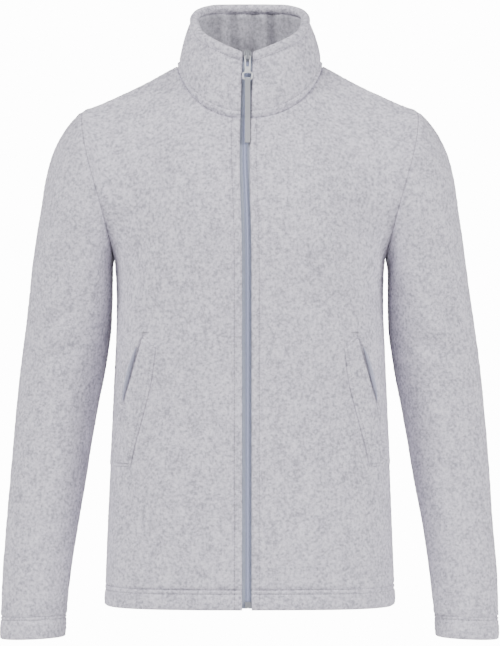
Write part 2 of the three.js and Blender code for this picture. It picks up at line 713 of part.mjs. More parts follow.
// Pull tab: bar, two arms, a waist and a ring
function makeTab() {
  const { barTop, armOuter, armInner, barBottom, windowBottom, shoulder, waist, waistHalf } = TAB;
  const { ringZ, ringHalf, ringTall, ringPower, holeHalf, holeTall, gap, wall } = TAB;
  const ladder = [[-armOuter, barTop], [-armOuter, shoulder], [-waistHalf, waist],
    [waistHalf, waist], [armOuter, shoulder], [armOuter, barTop]];
  const window = [[-armInner, barBottom], [armInner, barBottom],
    [armInner, windowBottom], [-armInner, windowBottom]];
  const ring = oval(0, ringZ, ringHalf, ringTall, 24, ringPower);
  const hole = oval(0, ringZ, holeHalf, holeTall, 20, ringPower);
  return united([plateXZ(ladder, -gap - wall, -gap, [window]), plateXZ(ring, -gap - wall, -gap, [hole])]);
}

const fronts = { '-1': makeFront(-1), 1: makeFront(1) };
const frontRows = fronts[1].rows;
const sideName = (side) => (side > 0 ? 'left' : 'right');

for (const side of [1, -1]) addPiece(`front_${sideName(side)}`, fronts[side].geometry, 'fleece');
addPiece('back', makeBack(), 'fleece');
for (const side of [1, -1]) addPiece(`sleeve_${sideName(side)}`, makeSleeve(side), 'fleece');
addPiece('collar', makeCollar(), 'fleece');

for (const side of [1, -1]) {
  const welt = (share) => Object.values(weltEdges(share));
  addPiece(`welt_${sideName(side)}`, stripOnPanel(fronts[side], side, welt, 0, 1, WELT_WALL), 'fleece');
  const facing = (share) => {
    const [x, z] = weltEdges(share).open;
    return [[x + FACING.width, z + 1], [x + FACING.gap, z]];
  };
  const strip = stripOnPanel(fronts[side], side, facing, FACING.start, FACING.end, FACING.wall);
  addPiece(`pocket_facing_${sideName(side)}`, strip, 'facing');
}

const wingEnds = [HEM_Z + HEM_DEPTH + 4, HEM_Z + HEM_DEPTH + 6, TAPE.wingTop - 1, TAPE.wingTop + 1];
for (const side of [1, -1]) {
  const heights = zipHeights(TAPE.bottomZ, TAPE.topZ, frontRows, wingEnds);
  const tape = zipStrip(heights, () => CHAIN.half + SEAM_GAP, tapeReach, TAPE.depth,
    TAPE.depth + TAPE.wall, side, frontRows);
  addPiece(`zip_tape_${sideName(side)}`, tape, 'tape');
}
const chainHeights = zipHeights(CHAIN.bottomZ, CHAIN.topZ, frontRows);
addPiece('zip_chain', zipStrip(chainHeights, () => -CHAIN.half, () => CHAIN.half, CHAIN.front,
  CHAIN.back, 1, frontRows), 'coil');
const boxHeights = [BOTTOM_BOX.bottomZ, BOTTOM_BOX.topZ];
addPiece('zip_bottom_box', zipStrip(boxHeights, () => -BOTTOM_BOX.half, () => BOTTOM_BOX.half,
  BOTTOM_BOX.front, BOTTOM_BOX.back, 1, frontRows), 'metal');

// The slider and its tab lean with the collar's front
const slope = Math.atan2(zipLine(LEAN_Z, frontRows) - zipLine(SLIDER_Z, frontRows), SLIDER_Z - LEAN_Z);
const zipHead = new THREE.Group();
zipHead.position.set(zipX(SLIDER_Z), zipLine(SLIDER_Z, frontRows), SLIDER_Z);
zipHead.rotation.x = slope;
group.add(zipHead);
addPiece('zip_slider', makeSlider(), 'metal', zipHead);
addPiece('zip_pull_tab', makeTab(), 'metal', zipHead);

// Ribbon: doubled through the ring, then hanging down over the collar and the chest
function makeRibbon() {
  const barZ = TAB.ringZ - (TAB.ringTall + TAB.holeTall) / 2;
  const middle = vec(0, -TAB.gap - TAB.wall / 2, barZ).applyEuler(zipHead.rotation).add(zipHead.position);
  const radius = RIBBON.hole + RIBBON.layer;
  const front = [];
  const behind = [];
  const stops = [-50, -65, -80, -96, RIBBON.endZ];
  for (const z of stops) {
    const level = zipLine(z, frontRows);
    front.push([level - RIBBON.lift - 2 * RIBBON.layer, z]);
    behind.unshift([level - RIBBON.lift, z]);
  }
  const over = [];
  for (let i = 0; i <= 8; i += 1) {
    const turn = (Math.PI * i) / 8;
    over.push([middle.y + radius * Math.cos(turn), middle.z + radius * Math.sin(turn)]);
  }
  const hole = oval(middle.y, middle.z, RIBBON.hole, RIBBON.hole, 12);
  return plateYZ([...over, ...front, ...behind], RIBBON.half, [hole]);
}
const ribbon = makeRibbon();
ribbon.translate(zipHead.position.x, 0, 0);
addPiece('zip_ribbon', ribbon, 'ribbon');

export default group;
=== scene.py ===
# A man's fleece zip jacket: cloth, sewing, zip and studio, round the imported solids.
import math

import bmesh
import bpy
import numpy as np
from mathutils import Matrix, Vector
from mathutils.bvhtree import BVHTree


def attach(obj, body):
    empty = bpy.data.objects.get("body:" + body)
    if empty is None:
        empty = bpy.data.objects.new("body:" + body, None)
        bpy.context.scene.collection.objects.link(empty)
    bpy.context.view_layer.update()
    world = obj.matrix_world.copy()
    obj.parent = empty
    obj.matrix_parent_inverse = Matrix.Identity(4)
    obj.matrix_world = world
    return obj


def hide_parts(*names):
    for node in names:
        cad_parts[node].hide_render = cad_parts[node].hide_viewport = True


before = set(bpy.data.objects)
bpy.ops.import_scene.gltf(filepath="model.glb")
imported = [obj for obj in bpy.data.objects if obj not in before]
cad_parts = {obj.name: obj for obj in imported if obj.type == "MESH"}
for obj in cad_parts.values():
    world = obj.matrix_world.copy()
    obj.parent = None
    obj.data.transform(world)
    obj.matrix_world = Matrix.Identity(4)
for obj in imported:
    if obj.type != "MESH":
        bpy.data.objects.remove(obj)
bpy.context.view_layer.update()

# The cloth is worked out in millimetres, with the solids' own sizes, and made in metres
MM = 0.001
SIDES = {"left": 1, "right": -1}
FACES = {"front": -1, "back": 1}
FLEECE = 3
HEM_WALL = 5.4
HEM_Z = -682
ARMPIT = (169, -250)
SHOULDER_POINT = (208.75, -68)
ARMHOLE_HALF_DEPTH = 84
ARMHOLE_BOW = 45
ARMPIT_DIP = 30
ARMPIT_DIP_REACH = 0.12
NECK = {"half": 90, "front": 84, "back": 64, "side_z": -13, "drop": 67, "rise": 2, "power": 1.28}
NECK_STEEP = {"side": 0.88, "middle": 0.36}
COLLAR_TOP = {"half": 72, "front": 71, "back": 52}
COLLAR_WALL = 6
COLLAR_ROLL = 4.2
COLLAR_BULGE = 2.5
ZIP_X = -2.5
ZIP_BOW = {"size": -4, "z": -115, "reach": 75}
ZIP_OPENING_HALF = 7.5
QUARTER_COLUMNS = 11
NECK_COLUMNS = 6
UPPER_ROWS = 8
LOWER_ROWS = 10
CORNER_ROW = LOWER_ROWS + 1
HEM_DEPTH = 25
RELAX_PASSES = 10
# How many coarse rows and columns the last fit to the seams reaches in
TOP_FIX_ROWS = 1.5
EDGE_FIX_COLUMNS = 1.2
# Half the gap from one piece to the next: at the neck and the armholes, and along the other seams
SEAM_GAP = 0.15
CLOSED_GAP = 0.04


def table(names, *rows):
    return {name: np.array([row[i] for row in rows], float) for i, name in enumerate(names.split())}


TORSO = table(
    "z half front back power",
    (-682, 180.5, 126, 120, 3.1),
    (-600, 177.5, 126, 121, 3.0),
    (-514, 174, 124, 117, 2.9),
    (-420, 170, 123, 110, 2.8),
    (-334, 166.5, 128, 112, 2.7),
    (-275, 167, 133, 117, 2.6),
    (-250, 169, 134, 118, 2.6),
)
CENTRE = table(
    "z front back",
    (-300, 131, 115),
    (-250, 134, 118),
    (-190, 127, 119),
    (-135, 111, 114),
    (-80, 84, 99),
    (-40, 70, 80),
    (-11, 60, 64),
)
SLEEVE = table(
    "outer_x outer_z inner_x inner_z depth y",
    (208.75, -68, 169, -250, 84, 0),
    (221, -79, 170.5, -258, 84, 0),
    (235, -98, 171, -267, 83.5, 0),
    (247, -124, 171, -278, 82.5, 0),
    (255, -156, 170.8, -291, 80, 1),
    (261, -195, 170.8, -307, 77, 2),
    (268, -237, 171.5, -325, 74, 3),
    (275, -286, 173, -346, 71, 5),
    (281, -334, 177, -371, 67.5, 6),
    (286.5, -380, 182, -400, 63, 6),
    (291.5, -430, 189, -434, 59, 5),
    (296, -482, 197.5, -482, 54.5, 2),
    (300, -535, 206, -535, 49, -3),
    (304, -590, 215.5, -590, 44, -9),
    (308, -645, 223.5, -645, 40, -15),
    (309.5, -695, 228.5, -695, 37, -20),
    (310, -725, 230.5, -722, 36, -22),
)
COLLAR_CREST = table(
    "angle z",
    (0, 2),
    (30, 16),
    (60, 32),
    (80, 47),
    (100, 58),
    (135, 68.5),
    (160, 70.6),
    (180, 71),
)
WELT = table(
    "share open_x open_z inner_x inner_z",
    (0, 130, -347, 115, -359.5),
    (0.25, 142, -396, 120.6, -403),
    (0.5, 154.5, -441.5, 130.5, -444),
    (0.75, 160, -477, 140, -479),
    (1, 163.5, -509, 146.5, -509),
)

UP = np.array([0.0, 0.0, 1.0])
WITHOUT_Y = np.array([1.0, 0.0, 1.0])


def turns(steps):
    """Angles at equal steps round a full turn."""
    return 2 * math.pi * np.arange(steps) / steps


def pack3(x, y, z):
    return np.stack(np.broadcast_arrays(np.asarray(x, float), y, z), -1)


def unit(v):
    return v / np.maximum(np.linalg.norm(v, axis=-1, keepdims=True), 1e-9)


def mix(a, b, share):
    return a + (b - a) * share


def stand_off(points, normals, height):
    return points + normals * np.asarray(height)[..., None]


def bump(distance, width):
    """1 at no distance, falling away smoothly over width."""
    return np.exp(-((distance / width) ** 2))


def bumps(distance, *rows):
    """Sum of bumps and grooves, each given as its height, its place along a distance and its width."""
    return sum(height * bump(distance - place, width) for height, place, width in rows)


def step(value, low, high):
    t = np.clip((value - low) / (high - low), 0, 1)
    return t * t * (3 - 2 * t)


def hermite(knots, values, at):
    """A smooth curve through values at knots; values may be numbers or rows of points."""
    values = np.asarray(values, float)
    flat = values.reshape(len(knots), -1)
    ends = np.arange(len(knots))
    before, after = np.maximum(ends - 1, 0), np.minimum(ends + 1, len(knots) - 1)
    slopes = (flat[after] - flat[before]) / (knots[after] - knots[before])[:, None]
    at = np.atleast_1d(np.asarray(at, float))
    i = np.clip(np.searchsorted(knots, at, "right") - 1, 0, len(knots) - 2)
    width = (knots[i + 1] - knots[i])[:, None]
    t = np.clip((at - knots[i])[:, None] / width, 0, 1)
    t2, t3 = t * t, t * t * t
    out = (2 * t3 - 3 * t2 + 1) * flat[i] + (t3 - 2 * t2 + t) * width * slopes[i]
    out += (3 * t2 - 2 * t3) * flat[i + 1] + (t3 - t2) * width * slopes[i + 1]
    return out.reshape(at.shape + values.shape[1:])


def along(rows, key, at, column):
    at = np.asarray(at, float)
    return hermite(rows[key], rows[column], at.ravel()).reshape(at.shape)


def squarish(turn, power):
    """Across and ahead on a rounded square of size 1."""
    across, ahead = np.cos(turn), np.sin(turn)
    reach = (np.abs(across) ** power + np.abs(ahead) ** power) ** (-1 / power)
    return reach * across, reach * ahead


def zip_x(z):
    return ZIP_X + ZIP_BOW["size"] * bump(z - ZIP_BOW["z"], ZIP_BOW["reach"])


def front_edge(side, z):
    return ZIP_OPENING_HALF + side * zip_x(z)


def from_edge(side, x, half, z):
    edge = front_edge(side, z)
    return edge + x * (half - edge) / half


def girth(face, side, s, z):
    """The torso's girth at z, with s from 0 at the centre to 1 at the side seam."""
    half, deep, power = (along(TORSO, "z", z, name) for name in ("half", face, "power"))
    across, ahead = squarish((1 - s) * math.pi / 2, power)
    if face == "front":
        return pack3(side * from_edge(side, half * across, half, z), -deep * ahead, z)
    return pack3(side * half * across, deep * ahead, z)


def armhole(side, turn):
    """The armhole, from the shoulder point at 0 over the front to the armpit at pi."""
    lift = (1 + np.cos(turn)) / 2
    x = mix(ARMPIT[0], SHOULDER_POINT[0], lift) + ARMHOLE_BOW * lift**3 * (1 - lift)
    z = mix(ARMPIT[1], SHOULDER_POINT[1], lift)
    return pack3(side * x, -ARMHOLE_HALF_DEPTH * np.sin(turn), z)


def armhole_axis(side):
    rise = unit(np.array([SHOULDER_POINT[0] - ARMPIT[0], 0, SHOULDER_POINT[1] - ARMPIT[1]]))
    return np.array([side * rise[2], 0, -rise[0]])


def armhole_outward(side, points):
    middle = [side * (ARMPIT[0] + SHOULDER_POINT[0]) / 2, 0, (ARMPIT[1] + SHOULDER_POINT[1]) / 2]
    out = points - np.array(middle)
    axis = armhole_axis(side)
    return unit(out - (out @ axis)[..., None] * axis)


def neckline(side, angle):
    """The neckline, from the centre front at 0 over the side at 90 to the centre back at 180."""
    turn = np.radians(angle)
    ahead = np.cos(turn)
    x = NECK["half"] * np.sin(turn)
    front_z = NECK["side_z"] - NECK["drop"] * np.maximum(ahead, 0) ** NECK["power"]
    z = np.where(ahead < 0, NECK["side_z"] - NECK["rise"] * ahead, front_z)
    x = np.where(ahead < 0, x, from_edge(side, x, NECK["half"], z))
    return pack3(side * x, -np.where(ahead < 0, NECK["back"], NECK["front"]) * ahead, z)


def neck_outward(side, angle):
    turn = np.radians(angle)
    steep = mix(NECK_STEEP["side"], NECK_STEEP["middle"], np.abs(np.cos(turn)))
    return unit(pack3(side * np.sin(turn), -np.cos(turn), steep))


def top_edge(face, side, column):
    """Top edge of a front or back by column: the neckline, then the shoulder seam."""
    share = np.minimum(column / NECK_COLUMNS, 1)
    neck = neckline(side, 90 * share if face == "front" else 180 - 90 * share)
    along_seam = np.maximum((column - NECK_COLUMNS) / (QUARTER_COLUMNS - NECK_COLUMNS), 0)[..., None]
    end = np.array([side * SHOULDER_POINT[0], 0, SHOULDER_POINT[1]])
    return np.where(along_seam > 0, mix(neckline(side, 90.0), end, along_seam), neck)


def armpit_row_z(s):
    return ARMPIT[1] - ARMPIT_DIP * (1 - np.exp(-(1 - s) / ARMPIT_DIP_REACH))


def lower_shares():
    tall = ARMPIT[1] - ARMPIT_DIP - HEM_Z
    hem = (HEM_DEPTH + 2) / tall
    return np.concatenate([[0], np.linspace(hem, 1, LOWER_ROWS + 1)])


def yoke(face, side, t):
    """One row of the yoke, blended between the armpit row, the centre, the armhole and the top."""
    columns = np.arange(QUARTER_COLUMNS + 1.0)
    s = (columns / QUARTER_COLUMNS)[:, None]
    bottom = girth(face, side, s[:, 0], armpit_row_z(s[:, 0]))
    top = top_edge(face, side, columns)
    z = mix(armpit_row_z(0.0), top[0, 2], t)
    centre_x = side * front_edge(side, z) if face == "front" else 0
    centre = pack3(centre_x, FACES[face] * along(CENTRE, "z", z, face), z)
    edge = armhole(side, -FACES[face] * math.pi * (1 - t))
    row = bottom * (1 - t) + top * t + centre * (1 - s) + edge * s
    row -= bottom[0] * (1 - s) * (1 - t) + bottom[-1] * s * (1 - t)
    return row - top[0] * (1 - s) * t - top[-1] * s * t


def relax(face, side, rows):
    """Evens out the yoke, as the solids do, off its seams."""
    first = CORNER_ROW - 1
    for _ in range(RELAX_PASSES):
        old = rows.copy()
        near = np.concatenate([old[:, 1:2], old[:, :-2]], 1)
        middle = old[first - 1:-2, :-1] + old[first + 1:, :-1] + near[first:-1] + old[first:-1, 1:]
        rows[first:-1, :-1] = (old[first:-1, :-1] + middle / 4) / 2
        edge = side * front_edge(side, rows[first:-1, 0, 2])
        rows[first:-1, 0, 0] = edge if face == "front" else 0
    return rows


def arc(grid, axis):
    """Distance run along the grid's lines from their start."""
    lengths = np.linalg.norm(np.diff(grid, axis=axis), axis=-1)
    start = np.zeros_like(np.take(lengths, [0], axis))
    return np.concatenate([start, np.cumsum(lengths, axis)], axis)


def spread(face, side, fine_rows, fine_columns):
    """A quarter of the torso as a fine grid of points, at fractions of the coarse rows and columns."""
    columns = np.arange(QUARTER_COLUMNS + 1.0)
    s = columns / QUARTER_COLUMNS
    lower = [girth(face, side, s, mix(HEM_Z, armpit_row_z(s), share)) for share in lower_shares()]
    upper = [yoke(face, side, (m + 1) / UPPER_ROWS) for m in range(UPPER_ROWS)]
    coarse = relax(face, side, np.array(lower + upper))
    coarse_rows = np.arange(len(coarse), dtype=float)
    knots = arc(coarse, 0).mean(1)
    grid = hermite(knots, coarse, np.interp(fine_rows, coarse_rows, knots))
    grid = np.moveaxis(hermite(columns, np.moveaxis(grid, 1, 0), fine_columns), 0, 1)
    top_fix = top_edge(face, side, fine_columns) - grid[-1]
    near_top = step(fine_rows, coarse_rows[-1] - TOP_FIX_ROWS, coarse_rows[-1])
    grid = grid + top_fix[None] * near_top[:, None, None]
    share = np.interp(fine_rows, coarse_rows[:CORNER_ROW + 1], lower_shares())
    seam_z = mix(HEM_Z, ARMPIT[1], share)
    seam = pack3(side * along(TORSO, "z", seam_z, "half"), 0, seam_z)
    t = np.clip((fine_rows - CORNER_ROW) / UPPER_ROWS, 0, 1)
    hole = armhole(side, -FACES[face] * math.pi * (1 - t))
    edge_fix = np.where((fine_rows > CORNER_ROW)[:, None], hole, seam) - grid[:, -1]
    near_edge = step(fine_columns, QUARTER_COLUMNS - EDGE_FIX_COLUMNS, QUARTER_COLUMNS)
    return grid + edge_fix[:, None] * near_edge[None, :, None]


def normals_of(grid, wrapped=False):
    if wrapped:
        across = np.roll(grid, -1, 1) - np.roll(grid, 1, 1)
    else:
        across = np.gradient(grid, axis=1)
    return unit(np.cross(across, np.gradient(grid, axis=0)))


# Soft folds, listed one by one: the face, 1 in front, their middle in x and z as seen from the front,
# their direction from upright in degrees, length, width and depth
FOLDS = (
    (1, 150, -212, -38, 90, 16, 3.2),
    (1, 138, -232, -52, 80, 13, 2.0),
    (1, -147, -205, 35, 84, 15, 2.8),
    (1, -132, -238, 50, 90, 14, 2.2),
    (1, 156, -300, -14, 120, 17, 2.1),
    (1, -158, -292, 16, 130, 16, 2.4),
    (1, 96, -312, -62, 90, 20, 1.6),
    (1, -104, -322, 58, 96, 22, 1.8),
    (1, 60, -560, -8, 150, 26, 1.9),
    (1, -70, -548, 10, 170, 24, 1.6),
    (1, 118, -590, -5, 110, 18, 2.0),
    (1, -122, -600, 7, 120, 19, 2.1),
    (1, 40, -150, -30, 70, 24, 1.2),
    (1, -48, -158, 34, 80, 22, 1.2),
    (-1, 146, -210, -34, 100, 18, 4.8),
    (-1, -143, -216, 36, 96, 17, 4.2),
    (-1, 120, -246, -48, 110, 16, 3.2),
    (-1, -124, -252, 46, 96, 15, 3.6),
    (-1, 52, -402, -68, 150, 22, 3.1),
    (-1, -64, -388, 64, 140, 20, 2.9),
    (-1, 30, -440, -74, 120, 18, 2.5),
    (-1, 80, -590, -8, 130, 24, 2.7),
    (-1, -86, -576, 9, 150, 26, 3.1),
    (-1, 12, -70, 6, 70, 20, 2.0),
    (1, 226, -270, -30, 90, 15, 3.7),
    (1, -229, -262, 33, 96, 16, 4.1),
    (1, 236, -318, -52, 84, 12, 3.4),
    (1, -240, -330, 56, 80, 13, 3.2),
    (1, 232, -364, -66, 74, 11, 3.1),
    (1, -236, -372, 60, 78, 12, 2.9),
    (1, 250, -430, -24, 110, 15, 2.5),
    (1, -252, -444, 26, 104, 14, 2.4),
    (1, 262, -560, -16, 120, 13, 2.2),
    (1, -264, -548, 14, 110, 12, 2.2),
    (-1, 226, -250, -28, 100, 16, 4.1),
    (-1, -224, -258, 30, 90, 15, 3.7),
    (-1, 240, -350, -58, 86, 12, 3.9),
    (-1, -243, -340, 54, 92, 13, 3.7),
    (-1, 246, -396, -64, 80, 11, 3.4),
    (-1, -244, -404, 62, 76, 12, 3.2),
    (-1, 262, -520, -20, 110, 14, 2.5),
    (-1, -266, -532, 18, 120, 13, 2.4),
)
FOLD_BEND = 0.0016
# The low ridge beside each fold, against its depth and width
RIDGE_HEIGHT = 0.6
RIDGE_OFF = 1.7
# Long slow waves of cloth that hangs free: wave lengths across and down, height and shift
WAVES = (
    (173, 410, 0.7, 0.4),
    (97, 268, 0.4, 2.1),
    (61, 157, 0.22, 4.4),
)
WAVE_RADIUS = 150
WAVES_BELOW = (60, 180)
# The pile's small waves: length, direction and shift
PILE_WAVES = ((7.3, 0.3, 0.0), (5.1, 1.4, 1.9), (9.7, 2.2, 3.1), (4.3, 2.9, 5.2))
PILE = 0.16


def soft_form(points, normals):
    """How far the cloth stands in or out of its plain form."""
    x, y, z = np.moveaxis(points, -1, 0)
    turned = np.arctan2(x, -y) * WAVE_RADIUS
    out = np.zeros_like(x)
    for across, down, height, shift in WAVES:
        out += height * np.sin(2 * math.pi * (turned / across + z / down) + shift)
    out *= step(-z, *WAVES_BELOW)
    for face, middle_x, middle_z, degrees, length, width, depth in FOLDS:
        lean = math.radians(degrees)
        dx, dz = x - middle_x, z - middle_z
        lengthwise = dx * math.sin(lean) + dz * math.cos(lean)
        crosswise = dx * math.cos(lean) - dz * math.sin(lean) + FOLD_BEND * lengthwise**2
        trough = bump(crosswise, width) - RIDGE_HEIGHT * bump(crosswise + RIDGE_OFF * width, width)
        out -= depth * step(-face * normals[..., 1], 0.0, 0.5) * trough * bump(lengthwise, 0.5 * length)
    return out


def pile(points, size=PILE):
    """The uneven top of the brushed pile, a small height at each point."""
    x, y, z = np.moveaxis(points, -1, 0)
    out = np.zeros_like(x)
    for wave, turn, shift in PILE_WAVES:
        u = (x + 0.7 * y) * math.cos(turn) + z * math.sin(turn)
        v = (z - 0.6 * y) * math.cos(turn) - x * math.sin(turn)
        out += np.sin(2 * math.pi * u / wave + shift) * np.sin(2 * math.pi * v / (wave * 1.31) + 2 * shift)
    return size * out


def shell_faces(rows, columns, wrapped=False):
    """Quads between rows of points, each row closed on itself if wrapped."""
    across = columns if wrapped else columns - 1
    m, k = np.meshgrid(np.arange(rows - 1) * columns, np.arange(across), indexing="ij")
    k1 = (k + 1) % columns
    return np.stack([m + k, m + k1, m + columns + k1, m + columns + k], -1).reshape(-1, 4)


def wrap(top, bottom):
    """Loops round the rows of an upper and a lower side."""
    return np.concatenate([top, bottom[:, ::-1]], 1)


def loft(loops, ring=False):
    """Closed body through loops of points; its ends meet or are capped point to opposite point."""
    rows, count = loops.shape[:2]
    if ring:
        loops = np.concatenate([loops, loops[:1]])
        faces = shell_faces(rows + 1, count, True) % (rows * count)
        return loops[:-1].reshape(-1, 3), faces
    faces = shell_faces(rows, count, True)
    k = np.arange(count // 2 - 1)
    end = (rows - 1) * count
    start_cap = np.stack([count - 1 - k, count - 2 - k, k + 1, k], -1)
    end_cap = np.stack([end + k, end + k + 1, end + count - 2 - k, end + count - 1 - k], -1)
    return loops.reshape(-1, 3), np.concatenate([faces, start_cap, end_cap])


def volume(points, faces):
    a, b, c, d = (points[faces[:, i]] for i in range(4))
    return (np.einsum("ij,ij->i", a, np.cross(b, c)) + np.einsum("ij,ij->i", a, np.cross(c, d))).sum()


def new_object(name, data):
    made = bpy.data.objects.new(name, data)
    bpy.context.scene.collection.objects.link(made)
    return made


def declare(name, mesh, material, body, replaced):
    """A smooth piece of the visual model from a mesh."""
    mesh.polygons.foreach_set("use_smooth", np.ones(len(mesh.polygons), bool))
    mesh.materials.append(MATERIALS[material])
    piece = new_object(name, mesh)
    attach(piece, body)
    if replaced:
        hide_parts(*replaced)
    return piece


def make_piece(name, shape, material, replaced=(), body="jacket"):
    points, faces = shape
    if volume(points, faces) < 0:
        faces = faces[:, ::-1]
    mesh = bpy.data.meshes.new(name)
    mesh.from_pydata((points * MM).tolist(), [], faces.tolist())
    mesh.update()
    return declare(name, mesh, material, body, replaced)


def cloth_piece(name, loops, first, ring=False):
    """A piece of fleece; its faces from column first on, the inner side, have their own fleece, darker
    partly as the cloth's unbrushed back and partly as painted shade.
    """
    piece = make_piece(f"cloth_{name}", loft(loops, ring), "fleece", [name])
    rows, count = loops.shape[:2]
    face = np.arange(len(piece.data.polygons))
    column = face % count
    in_rows = face < count * (rows if ring else rows - 1)
    inside = (column >= first) & (column < count - 1) & in_rows
    piece.data.materials.append(MATERIALS["inside"])
    piece.data.polygons.foreach_set("material_index", inside.astype(np.int32))
    return piece


def many(parts):
    """One body of points and faces from several."""
    points, faces, start = [], [], 0
    for part_points, part_faces in parts:
        points.append(part_points)
        faces.append(part_faces + start)
        start += len(part_points)
    return np.concatenate(points), np.concatenate(faces)


# Materials
def new_material(name):
    material = bpy.data.materials.new(name)
    material.use_nodes = True
    tree = material.node_tree
    return material, tree, tree.nodes["Principled BSDF"]


def set_values(node, **values):
    """Sets a node's inputs, or its own settings, by name."""
    for key, value in values.items():
        name = key.replace("_", " ")
        if name in node.inputs:
            node.inputs[name].default_value = value
        else:
            setattr(node, key, value)


def add_node(tree, kind, links=(), **values):
    """A shader node with its settings, and links as (input, output socket) pairs."""
    node = tree.nodes.new("ShaderNode" + kind)
    set_values(node, **values)
    for name, socket in links:
        tree.links.new(socket, node.inputs[name])
    return node


def textures(tree):
    """A function that adds a noise over the object's own coordinates, and those coordinates."""
    place = add_node(tree, "TexCoord").outputs["Object"]

    def noise(scale, detail, rough=0.5):
        links = [("Vector", place)]
        node = add_node(tree, "TexNoise", links, Scale=scale, Detail=detail, Roughness=rough)
        return node.outputs["Fac"]
    return noise, place


def blend(tree, first, second, share):
    return add_node(tree, "Mix", [("A", first), ("B", second)], Factor=share).outputs["Result"]


def colour_by(tree, shader, socket, *stops):
    """Colours the surface by a value, through colours at their places."""
    node = add_node(tree, "ValToRGB", [("Fac", socket)])
    elements = node.color_ramp.elements
    while len(elements) < len(stops):
        elements.new(0.5)
    for element, (place, colour) in zip(elements, stops):
        element.position = place
        element.color = (*colour, 1)
    tree.links.new(node.outputs["Color"], shader.inputs["Base Color"])


def raise_by(tree, shader, socket, strength, distance):
    """Makes the surface uneven by a value."""
    node = add_node(tree, "Bump", [("Height", socket)], Strength=strength, Distance=distance)
    tree.links.new(node.outputs["Normal"], shader.inputs["Normal"])


def linear(red, green, blue):
    """A colour given in 8-bit sRGB values, as linear values."""
    def one(value):
        value /= 255
        return value / 12.92 if value < 0.04045 else ((value + 0.055) / 1.055) ** 2.4
    return one(red), one(green), one(blue)


def fleece_material(name, dark, middle, light):
    """Brushed melange fleece: mottled light and dark fibres under a soft raised pile."""
    material, tree, shader = new_material(name)
    noise, _ = textures(tree)
    mottle, tufts = noise(250, 5, 0.65), noise(560, 3, 0.65)
    cloud, hairs = noise(62, 3), noise(1400, 2)
    grain = blend(tree, blend(tree, mottle, tufts, 0.3), hairs, 0.1)
    tones = ((0.41, linear(*dark)), (0.5, linear(*middle)), (0.59, linear(*light)))
    colour_by(tree, shader, blend(tree, grain, cloud, 0.13), *tones)
    raise_by(tree, shader, blend(tree, tufts, hairs, 0.4), 0.55, 0.0012)
    set_values(shader, Roughness=1.0, Specular_IOR_Level=0.12, Sheen_Weight=0.15, Sheen_Roughness=0.55,
               Sheen_Tint=(0.9, 0.9, 0.93, 1))
    return material


def woven_material(name, colour, pitch=0.0006, depth=0.0002, rough=0.85):
    """A fine plain weave, its threads along the cloth's own upright."""
    material, tree, shader = new_material(name)
    noise, place = textures(tree)
    scale = 0.1 * math.pi / pitch
    links = [("Vector", place)]
    waves = [add_node(tree, "TexWave", links, bands_direction=way, Scale=scale) for way in ("X", "Z")]
    links = [(i, wave.outputs["Fac"]) for i, wave in enumerate(waves)]
    cross = add_node(tree, "Math", links, operation="MULTIPLY").outputs[0]
    tones = ((0.2, 0.82), (0.5, 1.0), (0.8, 1.12))
    stops = [(at, tuple(min(1, c * shade) for c in linear(*colour))) for at, shade in tones]
    colour_by(tree, shader, blend(tree, cross, noise(300, 3), 0.5), *stops)
    raise_by(tree, shader, cross, 0.6, depth)
    set_values(shader, Roughness=rough, Specular_IOR_Level=0.25, Sheen_Weight=0.15)
    return material


def worn_material(name, colour, metallic, rough, scale):
    """Lacquered metal or moulded plastic with slight unevenness in tone and gloss."""
    material, tree, shader = new_material(name)
    spots = textures(tree)[0](scale, 4)
    tones = ((0.35, 0.94), (0.65, 1.06))
    stops = [(at, tuple(min(1, c * shade) for c in linear(*colour))) for at, shade in tones]
    colour_by(tree, shader, spots, *stops)
    gloss = add_node(tree, "MapRange", [("Value", spots)], To_Min=rough - 0.06, To_Max=rough + 0.08)
    tree.links.new(gloss.outputs["Result"], shader.inputs["Roughness"])
    raise_by(tree, shader, spots, 0.08, 0.0002)
    set_values(shader, Metallic=metallic)
    return material


MATERIALS = {
    "fleece": fleece_material("melange_fleece", (166, 163, 177), (212, 208, 221), (240, 236, 247)),
    # The inner side's fleece is darker: partly the cloth's greyer unbrushed back, partly painted shade for
    # the shadow inside the collar and the fronts.
    "inside": fleece_material("melange_inside_darker_back_and_shade", (160, 158, 168), (188, 186, 196), (210, 207, 217)),
    # The thread is darker than the fleece: painted shade standing in for the shadow in the sunk stitch
    # lines.
    "thread": woven_material("sewing_thread_shade_darkened", (166, 164, 174), 0.0004, 0.0001, 0.6),
    "tape": woven_material("zip_tape_weave", (191, 198, 217)),
    "coil": worn_material("nylon_coil", (182, 188, 217), 0.0, 0.42, 900),
    "metal": worn_material("silver_lacquer", (232, 233, 236), 0.35, 0.4, 700),
    "slider": worn_material("grey_lacquer", (158, 160, 167), 0.6, 0.42, 700),
    "ribbon": woven_material("ribbon_weave", (176, 178, 184), 0.0008, 0.0003),
    "facing": woven_material("facing_knit", (203, 205, 226), 0.0007, 0.0003),
}


# Cloth panels
def fine_steps(cells):
    """Positions along coarse cells, each split into its own number of steps."""
    stops = [np.linspace(i, i + 1, count, endpoint=False) for i, count in enumerate(cells)]
    return np.concatenate([*stops, [float(len(cells))]])


ROW_CELLS = [26] + [12] * LOWER_ROWS + [10] * UPPER_ROWS
COLUMN_CELLS = {"front": [22] + [8] * 4 + [16] * 3 + [8, 9, 12], "back": [14] + [8] * 8 + [9, 12]}
